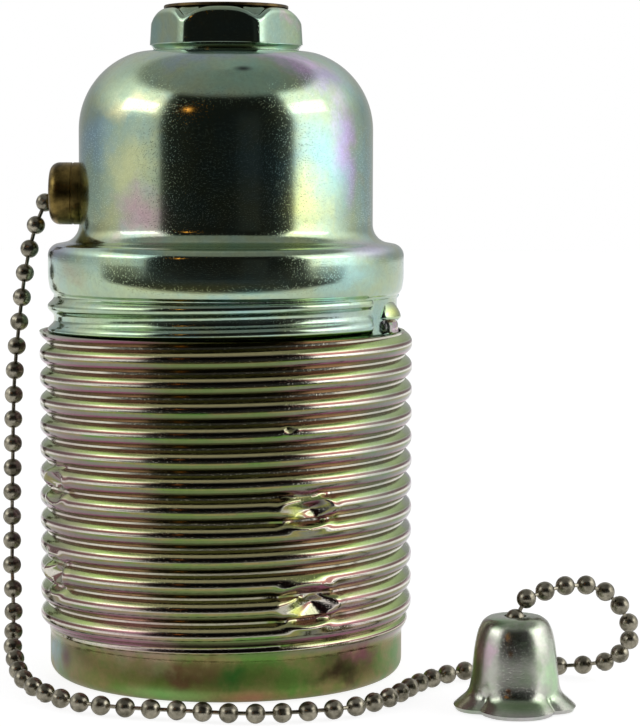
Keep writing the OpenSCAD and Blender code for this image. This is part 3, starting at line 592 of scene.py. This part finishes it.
# The cap is one deep-drawn steel pressing, zinc plated like the barrel but paler: a hexagon
# for a spanner, a dome, a flange ring and a skirt with a rolled thread that screws into the
# barrel. A nub and a window in the skirt hold the locking tab.
HEX_FLAT = 14.0
HEX_TURN = -2.7
HEX_Z = 70.1
HEX_FOOT = 66.3
HEX_CROWN = 6.2
SEAT_R = 5.75
EDGE_OUT = 0.75
EDGE_DOWN = 0.8
CAP_R = 15.5
DOME_R = 8.4
DOME_Z = 57.4
FLANGE_R = 18.81
CAP_SHEET = 0.45
SKIRT_CREST = 18.87
SKIRT_DEPTH = 0.65
SKIRT_TOP = 39.95
SKIRT_FOOT = 31.1
OUTLET_Z = 50.7
OUTLET_HOLE = 2.25
TAB_ANGLE = math.radians(-19.5)


def hex_radius(a, inset=0.0):
    """Radius of the hexagon at angle a, its corners rounded as drawn sheet is."""
    soft = 3.0
    off = math.remainder(a - math.radians(HEX_TURN + 30), math.pi / 3)
    flats = [(HEX_FLAT / 2 + 0.12 - inset) / math.cos(off + turn * math.pi / 3) for turn in (-1, 0, 1)]
    return -math.log(sum(math.exp(-soft * r) for r in flats + [8.6 - inset])) / soft


def dome_height(r):
    """Height of the dome's outer side at radius r."""
    out = r - (CAP_R - DOME_R)
    return DOME_Z + math.sqrt(max(0, DOME_R ** 2 - max(0, out) ** 2))


def skirt_radius(a, z):
    """Outer radius of the skirt: its thread, smooth by the tab, and the window there."""
    root = SKIRT_CREST - SKIRT_DEPTH
    u = (z - crest_height(a)) / PITCH
    off = abs(math.remainder(a - TAB_ANGLE, 2 * math.pi))
    plain = blend(23, 19, abs(math.degrees(math.remainder(a - TAB_ANGLE - 0.12, 2 * math.pi))))
    full = (1 - plain) * blend(41, 39.6, z)
    r = root + SKIRT_DEPTH * blend(0.4, 0.04, abs(u - round(u))) * full - 0.12 * plain
    # the window is sunk 0.4 mm; its darkness is painted shade in the cap's plating
    return r - 0.4 * blend(1.75, 1.5, off * root) * blend(37.95, 37.8, z) * blend(36.3, 36.45, z)


def outlet_hole(points, faces, high, r):
    """The same skins with a round hole through the left of the wall for the chain outlet."""
    inside = {i for i, q in enumerate(points) if q.x < -14 and math.hypot(q.y, q.z - high) < r}
    faces = [face for face in faces if not inside.issuperset(face)]
    for i in inside:
        q = points[i]
        wall = math.hypot(q.x, q.y)
        out = r / max(0.001, math.hypot(q.y, q.z - high))
        q.y *= out
        q.z = high + (q.z - high) * out
        q.x = -math.sqrt(wall ** 2 - q.y ** 2)
    ring = [(r * math.cos(k * math.pi / 30), high + r * math.sin(k * math.pi / 30)) for k in range(60)]
    tube = [Vector((-math.sqrt(wall ** 2 - y * y), y, z))
            for wall in (CAP_R, CAP_R - CAP_SHEET) for y, z in ring]
    return gather([(points, faces), (tube, rings_to_faces(2, len(ring)))])


def lanced_nub(turn, wide, low, high, proud):
    """The nub over the window: round above and at its ends, cut off sharply below."""
    sunk = 0.3
    root = SKIRT_CREST - SKIRT_DEPTH - sunk
    rings = [(low + (high - low) * t, math.cos(t * math.pi / 2) ** 0.8)
             for t in (0, 0.04, 0.1, 0.18, 0.28, 0.4, 0.52, 0.64, 0.75, 0.85, 0.93, 0.98)]
    # the lower edge is slightly rounded
    rings[0] = (rings[0][0], 0.82 * rings[0][1])
    rings[1] = (rings[1][0], 0.94 * rings[1][1])
    rings = [(low + 0.02, 0.0)] + rings + [(high, 0.0)]
    points = []
    for z, out in rings:
        for k in range(25):
            across = math.cos(math.pi * k / 24)
            a = turn + across * wide / root * (0.55 + 0.45 * out)
            r = root + (proud + sunk) * out * math.sqrt(max(0, 1 - across ** 2))
            points.append(Vector((r * math.cos(a), r * math.sin(a), z)))
    faces = [(i * 25 + k, i * 25 + k + 1, (i + 1) * 25 + k + 1, (i + 1) * 25 + k)
             for i in range(len(rings) - 1) for k in range(24)]
    back = [i * 25 for i in range(len(rings))] + [i * 25 + 24 for i in range(len(rings) - 1, -1, -1)]
    return points, faces + [tuple(back)]


cap_plating = passivated_steel("cap_passivated_zinc", ("#9cc0b8", "#aebf9e", "#98bab6"), 16, [
    ("#b9b6cc", (-15.4, 0, 54), (3, 6, 9), 0.7), ("#97bbcd", (-13.6, -8, 56.4), (5, 7, 4.5), 0.85),
    ("#a8c09c", (-14, -6.5, 50), (3.5, 5, 5), 0.8), ("#d6dba4", (-9.4, -12, 53.4), (5, 5, 4.6), 0.8),
    ("#cfb2b8", (-8.6, -13, 48.8), (5, 5, 4), 0.95), ("#b8bb88", (-12.4, -9.6, 47.6), (3.5, 5, 3.5), 0.8),
    # the pale yellow patch at the dome's left shoulder, first on the next line, is a painted highlight
    ("#e8e6b4", (-9.5, -12, 59.7), (7, 5, 2.2), 0.8), ("#a9bfa0", (-9.5, -10.5, 62.2), (6, 6, 3), 0.7),
    ("#a6b8ca", (-2, -10.5, 64.8), (10, 6, 1.7), 0.7), ("#9cd0ba", (2, -13, 62), (6, 5, 2.4), 0.6),
    ("#d8bfe2", (8, -9.8, 64), (6, 5, 1.9), 0.95), ("#b4accb", (10.8, -9, 62.6), (4.5, 6, 2.4), 0.9),
    ("#ccb6e6", (12.6, -9, 55.4), (2.3, 4, 8), 1.0), ("#dae39a", (8.4, -13.2, 49.4), (3.4, 5, 6), 0.9),
    ("#a0cbd0", (14.8, -5, 52), (1.8, 6, 10), 0.8),
    ("#a9c38c", (7.4, -5, 67), (1.5, 4, 1.5), 0.8), ("#d4b8cc", (7.4, -4.4, 69), (1.6, 4, 1.5), 0.8),
    ("#8fb0ae", (-7.8, -3, 68), (2, 5, 3), 0.6), ("#b9c39c", (0, -17.5, 41), (14, 6, 1.6), 0.7),
    ("#b9cca0", (-9, -16.5, 42.5), (5, 5, 3), 0.7), ("#a3a08a", (-15, -11, 43), (3.5, 5, 2), 0.7),
    ("#b9b6d0", (-17.5, -6, 45), (6, 8, 1.4), 0.8), ("#c2bcd8", (15, -10, 45.2), (7, 8, 1.3), 0.8),
    ("#b3cf9c", (-10, -15.5, 38), (8, 6, 3), 0.6), ("#b9c8c8", (12, -14.5, 38), (7, 6, 3), 0.6),
    ("#a8dcdc", (11, -11, 54), (4, 5, 6), 0.6), ("#a6d0cc", (13, -13.5, 42.8), (6, 6, 2.6), 0.7),
    # the small dark spot first on the next line is dirt; the dark olive band after it, round the crevice
    # under the hexagon, is painted shade
    ("#33383c", (2.2, -12.7, 63.35), (1.3, 2, 0.4), 0.9), ("#5a5a34", (0, -7.5, 65.85), (10, 4, 0.42), 0.95),
    # the near black patch second on the next line, in the skirt's window, is painted shade
    ("#dfe88c", (17.8, -6.8, 38.7), (1.9, 3, 1.3), 0.9), ("#2a1a12", (17, -6, 37.1), (1.9, 2.6, 0.8), 1.0),
    ("#c9d08a", (-2, -18.6, 41.6), (13, 4, 0.8), 0.85), ("#8fc6c0", (3, -18.6, 41.3), (4, 3, 0.7), 0.6)],
    0.008, 0.115)
def hex_top(r):
    """Height of the hexagon's domed top at radius r, which cuts its corners lower."""
    return HEX_Z - 1.05 * max(0, r - HEX_CROWN) ** 2


def top_ring(t):
    """On the domed top, from the bush's seat, t = 0, to the round of the edge, t = 1."""
    def ring(a):
        r = SEAT_R * (1 - t) + (hex_radius(a) - EDGE_OUT) * t
        return r, hex_top(r)
    return ring


def edge_ring(turned):
    """Round the edge between the top and a flat, by that many degrees."""
    def ring(a):
        r = hex_radius(a) - EDGE_OUT
        angle = math.radians(turned)
        return r + EDGE_OUT * math.sin(angle), hex_top(r) - EDGE_DOWN * (1 - math.cos(angle))
    return ring


def flat_ring(t):
    """Down a flat, from the round of the edge, t = 0, to the foot, t = 1, with a slight draft."""
    def ring(a):
        start = hex_top(hex_radius(a) - EDGE_OUT) - EDGE_DOWN
        return hex_radius(a) + 0.12 * t, start + (HEX_FOOT - start) * t
    return ring


def shoulder_ring(t):
    """From the crevice under the hexagon's collar out over the dome's shoulder, t = 1."""
    r = 7.64 * (1 - t) + 10.4 * t
    return r, dome_height(r) - 0.38 * (1 - t) ** 3


def dome_ring(turned, inset=0.0):
    """On the dome's round, that many degrees down from its top."""
    angle = math.radians(turned)
    return (CAP_R - DOME_R + (DOME_R - inset) * math.sin(angle), DOME_Z + (DOME_R - inset) * math.cos(angle))


wall = [53.2 - 0.25 * k for k in range(21)]
outside = ([(SEAT_R, HEX_Z - CAP_SHEET)] + [top_ring(t / 4) for t in range(5)]
           + [edge_ring(x) for x in (15, 30, 45, 60, 75, 90)]
           + [flat_ring(t / 4) for t in range(1, 5)]
           + [(7.84, 66.32), (7.9, 66.26), (7.9, 66.2), (7.8, 66.1), (7.68, 65.95), (7.62, 65.75)]
           + [(7.6, 65.55)]
           + [shoulder_ring(t / 6) for t in range(7)]
           + [dome_ring(x) for x in range(27, 90, 3)]
           + [(CAP_R, z) for z in [57.4, 55.4] + wall + [47.9]]
           + arc_rings(CAP_R + 1.95, 47.5, 1.95, 180, 256, 10)
           + arc_rings(FLANGE_R - 1.3, 44.2, 1.3, 70, 0, 9)
           + [(FLANGE_R - out, z) for out, z in (
               (0, 43.6), (0, 42.5), (0.01, 42.0), (0.03, 41.7), (0.07, 41.4), (0.12, 41.1), (0.18, 40.85),
               (0.27, 40.6), (0.4, 40.4), (0.53, 40.3), (0.6, 40.2), (0.6, 40.05))]
           + [lambda a: (skirt_radius(a, SKIRT_TOP), SKIRT_TOP)])
inside = ([(17.9, 31.1), (17.9, 39.9), (18.3, 40.6), (18.3, 44.2), (16.6, 44.7), (CAP_R - CAP_SHEET, 46.9)]
          + [(CAP_R - CAP_SHEET, z) for z in wall[::-1] + [57.4]]
          + [dome_ring(x, CAP_SHEET) for x in range(80, 10, -10)]
          + [lambda a: (hex_radius(a, 0.45), 65.4), lambda a: (hex_radius(a, 0.45), 69.0),
             lambda a: (hex_radius(a, 1.2), HEX_Z - CAP_SHEET), (SEAT_R, HEX_Z - CAP_SHEET)])
parts = [turned_skin(COLUMNS, outside),
         helix_skin(COLUMNS, SKIRT_FOOT, SKIRT_TOP, crest_height, skirt_radius),
         turned_skin(COLUMNS, [lambda a: (skirt_radius(a, SKIRT_FOOT), SKIRT_FOOT)] + inside),
         lanced_nub(TAB_ANGLE + 0.035, 2.6, 37.85, 39.7, 0.85)]
cap = surface("cap_shell", *outlet_hole(*gather(parts), OUTLET_Z, OUTLET_HOLE), cap_plating)
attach(cap, "housing")
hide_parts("cap")

# The entry bush is turned from brass bar and has gone dark: a flange over the hexagon, a
# shank through it and an M10 x 1 thread in its bore for the cable tube.
BORE_R = 4.5
BORE_DEPTH = 0.45
BORE_PITCH = 1.0
BORE_TOP = 70.17
BORE_FOOT = 62.65


def worked_metal(name, dark, light, cloud_mm, dull, marks_mm=(0.3, 0.3, 0.3), depth_mm=0.002, about=None):
    """Bare metal: tarnish in clouds between two shades, and tool marks of that spacing in x, y
    and z. With about, a place and a direction, the marks run round it as a lathe leaves them."""
    made, tree, shader = finish(name)
    where = add(tree, "TexCoord").outputs["Object"]
    cloud = noise(tree, where, 1000 / cloud_mm, 5.0, 0.65)
    tint = ramp(tree, cloud, [(0.34, dark), (0.66, light)])
    if about:
        centre = [c * MM for c in about[0]]
        off = add(tree, "VectorMath", {0: where, 1: centre}, operation="SUBTRACT").outputs[0]
        along = add(tree, "VectorMath", {0: off, 1: about[1]}, operation="DOT_PRODUCT").outputs["Value"]
        out = add(tree, "VectorMath", {0: off, 1: about[1]}, operation="CROSS_PRODUCT").outputs[0]
        out = add(tree, "VectorMath", {0: out}, operation="LENGTH").outputs["Value"]
        where = add(tree, "CombineXYZ", {0: along, 1: out}).outputs[0]
    lines = add(tree, "VectorMath", {0: where, 1: [1 / (c * MM) for c in marks_mm]}, operation="MULTIPLY")
    lines = noise(tree, lines.outputs[0], 1.0, 3.0, 0.6)
    bump = add(tree, "Bump", {"Height": lines, "Strength": 1.0, "Distance": depth_mm * MM})
    # the marks hold dirt, so they are duller than the ridges between them
    gloss = add(tree, "MapRange", {0: lines, 1: 0.3, 2: 0.7, 3: dull + 0.1, 4: dull - 0.05})
    feed(tree, shader, {"Base Color": tint, "Normal": bump.outputs[0], "Roughness": gloss.outputs[0],
                        "Metallic": 1.0})
    return made


def thread_bore(low, high, minor, depth, pitch, columns=96):
    """The wall of a tapped bore, a right-hand thread cut to that depth."""
    def crest(a):
        return low + pitch * a / (2 * math.pi)

    def radius(a, z):
        u = (z - crest(a)) / pitch
        return minor + depth * min(1, max(0, 2.6 * abs(u - round(u)) - 0.15))
    return helix_skin(columns, low, high, crest, radius, 10, pitch)


dark_brass = worked_metal("turned_brass_oxidised", "#3a3020", "#6e5c3a", 1.6, 0.34, (0.12, 0.12, 1), 0.004,
                          ((0, 0, 0), (0, 0, 1)))
bush_rings = ([(4.75, 70.42), (6.3, 70.42)] + arc_rings(6.42, 70.3, 0.12, 90, 0, 4)
              + [(6.54, 70.12), (5.72, 70.1), (5.7, 70.0)]
              + [(5.7 - (0.25 if k % 2 else 0), 69.8 - 0.5 * k) for k in range(1, 13)]
              + [(5.7, 63.0), (6.5, 63.0), (6.6, 62.9), (6.6, 62.5), (6.5, 62.4), (4.75, 62.4)])
parts = [turned_skin(96, bush_rings + [(BORE_R, BORE_FOOT)]),
         thread_bore(BORE_FOOT, BORE_TOP, BORE_R, BORE_DEPTH, BORE_PITCH),
         turned_skin(96, [(BORE_R, BORE_TOP), (4.75, 70.42)])]
bush = surface("entry_bush_turned", *gather(parts), dark_brass, 30)
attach(bush, "housing")
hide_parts("entry_bush")

# The chain outlet is a brass bell-mouth turned from bar, darkened by handling. Its mouth is
# rounded so that the beads slide over it, and a thin nut behind the wall holds its shank.
outlet_brass = worked_metal("turned_brass_handled", "#4e4222", "#8f7a44", 1.4, 0.3, (0.16, 0.16, 1), 0.005,
                            ((0, 0, OUTLET_Z), (1, 0, 0)))
outlet_rings = ([(1.35, 12.5), (2.0, 12.5), (2.2, 12.7), (2.2, 14.9), (3.24, 14.9), (3.28, 15.0),
                 (3.28, 16.1), (3.2, 16.16), (3.2, 16.24), (3.28, 16.3)]
                + arc_rings(2.25, 17.57, 1.03, 0, 90, 12)
                + arc_rings(1.95, 18.0, 0.6, 90, 180, 8) + [(1.35, 16.5)])
points, faces = turned_skin(72, outlet_rings)
points = [Vector((-q.z, q.y, OUTLET_Z + q.x)) for q in points]
outlet = surface("chain_outlet_turned", points, faces, outlet_brass, 35)
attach(outlet, "housing")
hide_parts("chain_outlet")
dress(worked_metal("milled_nut_steel", "#84847c", "#b4b4ac", 2, 0.32, (1.5, 0.1, 0.4), 0.003), "outlet_nut")

# The locking tab is a tongue of sprung strip, plated pale. It hooks out through the window
# in the skirt and stands on the barrel's edge, so that the barrel can't turn back.
TAB_W = 2.8
TAB_SHEET = 0.3
tab_path = [(12.3, 34.0), (13.9, 34.0), (14.15, 34.2), (14.2, 34.5), (14.2, 37.0), (14.35, 37.4),
            (14.7, 37.6), (17.9, 37.62), (18.3, 37.6), (18.58, 37.45), (18.68, 37.15), (18.66, 36.8),
            (18.7, 36.55), (18.82, 36.4)]
points, faces = [], []
for i, (r, z) in enumerate(tab_path):
    before, after = tab_path[max(0, i - 1)], tab_path[min(len(tab_path) - 1, i + 1)]
    along = Vector((after[0] - before[0], after[1] - before[1])).normalized()
    for k in range(9):
        x = TAB_W * (k / 8 - 0.5)
        # the tip's corners are rounded, and the tongue is slightly hollow across
        cut = 0.35 * max(0, abs(2 * x / TAB_W) - 0.6) ** 2 / 0.16 if i == len(tab_path) - 1 else 0
        hollow = 0.12 * (2 * x / TAB_W) ** 2
        for side in (-TAB_SHEET / 2, TAB_SHEET / 2):
            out = r - along.x * cut - along.y * side - hollow * abs(along.y)
            up = z - along.y * cut + along.x * side
            points.append(Matrix.Rotation(TAB_ANGLE, 3, "Z") @ Vector((out, x, up)))
rows = len(tab_path)
for i in range(rows - 1):
    for k in range(8):
        for side in (0, 1):
            a = i * 18 + 2 * k + side
            faces.append((a, a + 2, a + 20, a + 18))
    for a in (i * 18, i * 18 + 16):
        faces.append((a, a + 1, a + 19, a + 18))
for i in (0, rows - 1):
    for k in range(8):
        a = i * 18 + 2 * k
        faces.append((a, a + 2, a + 3, a + 1))
tab_plating = passivated_steel("tab_passivated_zinc", ("#d9dca8", "#e6c4dc", "#b7dcae"), 1.2, [
    ("#e0a070", (17.3, -6.2, 37.7), (1.5, 1.8, 0.25), 0.8)], 0.008, 0.16)
tab = surface("locking_tab_sprung", points, faces, tab_plating, 30)
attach(tab, "housing")
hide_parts("locking_tab")

# The lamp shell is drawn from brass sheet and rolled with the lamp's round thread. The lamp's
# cap has rubbed fine rings into it.
SHELL_R = 13.7
SHELL_DEPTH = 1.05
SHELL_PITCH = 3.62
SHELL_SHEET = 0.35
SHELL_FOOT = 2.2
SHELL_TOP = 26.9


def shell_crest(a):
    """Height of the shell's reference crest at angle a."""
    return 6.2 + SHELL_PITCH * a / (2 * math.pi)


def shell_radius(a, z):
    """Outer radius of the lamp shell: a plain mouth, then a round thread."""
    u = (z - shell_crest(a)) / SHELL_PITCH
    full = blend(5.2, 6.6, z) * blend(SHELL_TOP, 26.0, z)
    return SHELL_R - SHELL_DEPTH * full * (0.5 - 0.5 * math.cos(2 * math.pi * u))


def shell_bore(a, z):
    """Inner radius of the lamp shell."""
    return shell_radius(a, z) - SHELL_SHEET


rolled_brass = worked_metal("rolled_brass_sheet", "#b08a3c", "#d9b869", 5, 0.22, (0.1, 0.1, 1), 0.002,
                            ((0, 0, 0), (0, 0, 1)))
top = ([(SHELL_R, SHELL_TOP)] + arc_rings(SHELL_R - 0.5, 26.95, 0.5, 0, 90, 5)
       + [(7.0, 27.45), (7.0, 27.1), (SHELL_R - 0.5, 27.1), (SHELL_R - SHELL_SHEET, SHELL_TOP)])
parts = [helix_skin(180, SHELL_FOOT, SHELL_TOP, shell_crest, shell_radius, 14, SHELL_PITCH),
         helix_skin(180, SHELL_FOOT, SHELL_TOP, shell_crest, shell_bore, 14, SHELL_PITCH),
         turned_skin(180, top),
         turned_skin(180, [(SHELL_R, SHELL_FOOT), (SHELL_R - SHELL_SHEET, SHELL_FOOT)])]
shell = surface("lamp_shell_rolled", *gather(parts), rolled_brass)
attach(shell, "housing")
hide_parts("lamp_shell")

# The body and the sleeve are pressed steatite, a dense warm white ceramic under a thin clear
# glaze. Iron in the powder leaves rare brown specks, and the glaze pools slightly uneven.
steatite, tree, shader = finish("pressed_steatite_glazed")
where = add(tree, "TexCoord").outputs["Object"]
cloud = noise(tree, where, 160.0, 4.0, 0.55)
tint = ramp(tree, cloud, [(0.3, "#ddd6c4"), (0.7, "#efeade")])
speck = add(tree, "MapRange", {0: noise(tree, where, 1500.0, 1.0), 1: 0.74, 2: 0.8, 4: 0.7})
tint = mix_in(tree, speck.outputs[0], tint, colour("#6a4a30"))
pool = noise(tree, where, 500.0, 2.0)
bump = add(tree, "Bump", {"Height": pool, "Strength": 0.6, "Distance": 0.02 * MM})
gloss = add(tree, "MapRange", {0: cloud, 1: 0.3, 2: 0.7, 3: 0.3, 4: 0.22})
feed(tree, shader, {"Base Color": tint, "Normal": bump.outputs[0], "Roughness": gloss.outputs[0],
                    "Coat Weight": 0.6, "Coat Roughness": 0.12})
dress(steatite, "insulator_body", "insulating_sleeve")

# The brass screws, blocks and rivets are machined from drawn bar. They stay bright inside,
# with lathe rings on the screws and cutter lines and a first brown bloom on the blocks.
dress(worked_metal("machined_brass_bar", "#a5813a", "#d4b15e", 2.5, 0.26, (2.5, 0.14, 0.14), 0.003),
      "terminal_block_live", "terminal_block_neutral")
dress(worked_metal("turned_brass_screws", "#b08c40", "#dcbc6c", 1.8, 0.24, (0.35, 0.35, 0.12), 0.003),
      "shell_screws", "centre_screw", "earth_screw", "frame_rivets")

# The sprung contacts are stamped from phosphor bronze strip, redder than brass. Rolling
# leaves fine lines along the strip, and tarnish lies on it in clouds.
bronze = worked_metal("rolled_phosphor_bronze", "#9a5c3a", "#cf9260", 2.2, 0.25, (2.2, 0.12, 1.4), 0.002)
dress(bronze, "centre_contact", "detent_spring", "moving_contact", "fixed_contact")

# The frame, bracket, arm and pawl are punched from bright zinc plated steel strip, with a
# spangle near 1 mm across and rolling lines. The small screws are plated and duller.
plated_strip = worked_metal("zinc_plated_steel_strip", "#9fa19b", "#c9cbc6", 1.1, 0.3, (1.8, 0.15, 0.9),
                            0.002)
dress(plated_strip, "earth_bracket", "switch_frame", "pull_arm", "drive_pawl")
dress(worked_metal("zinc_plated_screws", "#8b8b86", "#bcbcb6", 0.8, 0.34, (0.4, 0.4, 0.1), 0.003),
      "terminal_screws", "bracket_screws", "contact_screws")

# The pin is ground steel under an oil film and the wheel is punched and hardened, so it is
# blue-grey, with rub marks round its hub. The spring is hard drawn steel wire.
dress(worked_metal("ground_steel_pin", "#8e9092", "#cfd1d2", 1.5, 0.16, (0.3, 0.05, 0.3), 0.001), "rotor_pin")
dress(worked_metal("hardened_steel_punched", "#4c5056", "#83888c", 1.4, 0.32, (0.1, 0.1, 1), 0.002,
                   ((-1.5, 0, 55.9), (0, 1, 0))), "ratchet_wheel")
WIRE_R = 0.2
COIL_R = 1.9
COIL_STEP = 0.413
COIL_AT = (-1.5, -4.38, 55.9)
turns = [2 * math.pi * 3 * i / 96 for i in range(97)]
coil = [Vector((COIL_AT[0] + COIL_R * math.cos(a), COIL_AT[1] + COIL_STEP * a / (2 * math.pi),
                COIL_AT[2] + COIL_R * math.sin(a))) for a in turns]
line = ([Vector((0.4, -4.38, z)) for z in (51.4, 52.6, 53.8, 55.0)] + coil
        + [Vector((0.4, -3.14, z)) for z in (56.8, 58.0, 59.4)])
points = []
side = Vector((0, 1, 0))
for i, q in enumerate(line):
    along = (line[min(i + 1, len(line) - 1)] - line[max(i - 1, 0)]).normalized()
    side = (side - along * side.dot(along)).normalized()
    for k in range(10):
        a = 2 * math.pi * k / 10
        points.append(q + WIRE_R * (side * math.cos(a) + along.cross(side) * math.sin(a)))
ends = [tuple(range(9, -1, -1)), tuple(range(10 * len(line) - 10, 10 * len(line)))]
wire = worked_metal("drawn_spring_wire", "#77777a", "#b0b0ae", 1, 0.24)
spring = surface("return_spring_coiled", points, rings_to_faces(len(line), 10) + ends, wire)
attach(spring, "housing")
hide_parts("return_spring")

# The cam is moulded from brown phenolic with wood flour in it: pale and dark flecks near
# half a millimetre under a skin that is glossier than bare plastic.
phenolic, tree, shader = finish("moulded_phenolic_brown")
where = add(tree, "TexCoord").outputs["Object"]
fleck = add(tree, "TexVoronoi", {"Vector": where, "Scale": 2200.0})
tint = ramp(tree, fleck.outputs["Distance"], [(0.1, "#7a4a34"), (0.4, "#5c2f22"), (0.8, "#45221a")])
flow = noise(tree, where, 700.0, 4.0)
bump = add(tree, "Bump", {"Height": flow, "Strength": 0.5, "Distance": 0.01 * MM})
gloss = add(tree, "MapRange", {0: flow, 1: 0.3, 2: 0.7, 3: 0.28, 4: 0.42})
feed(tree, shader, {"Base Color": tint, "Normal": bump.outputs[0], "Roughness": gloss.outputs[0]})
dress(phenolic, "cam_rotor")
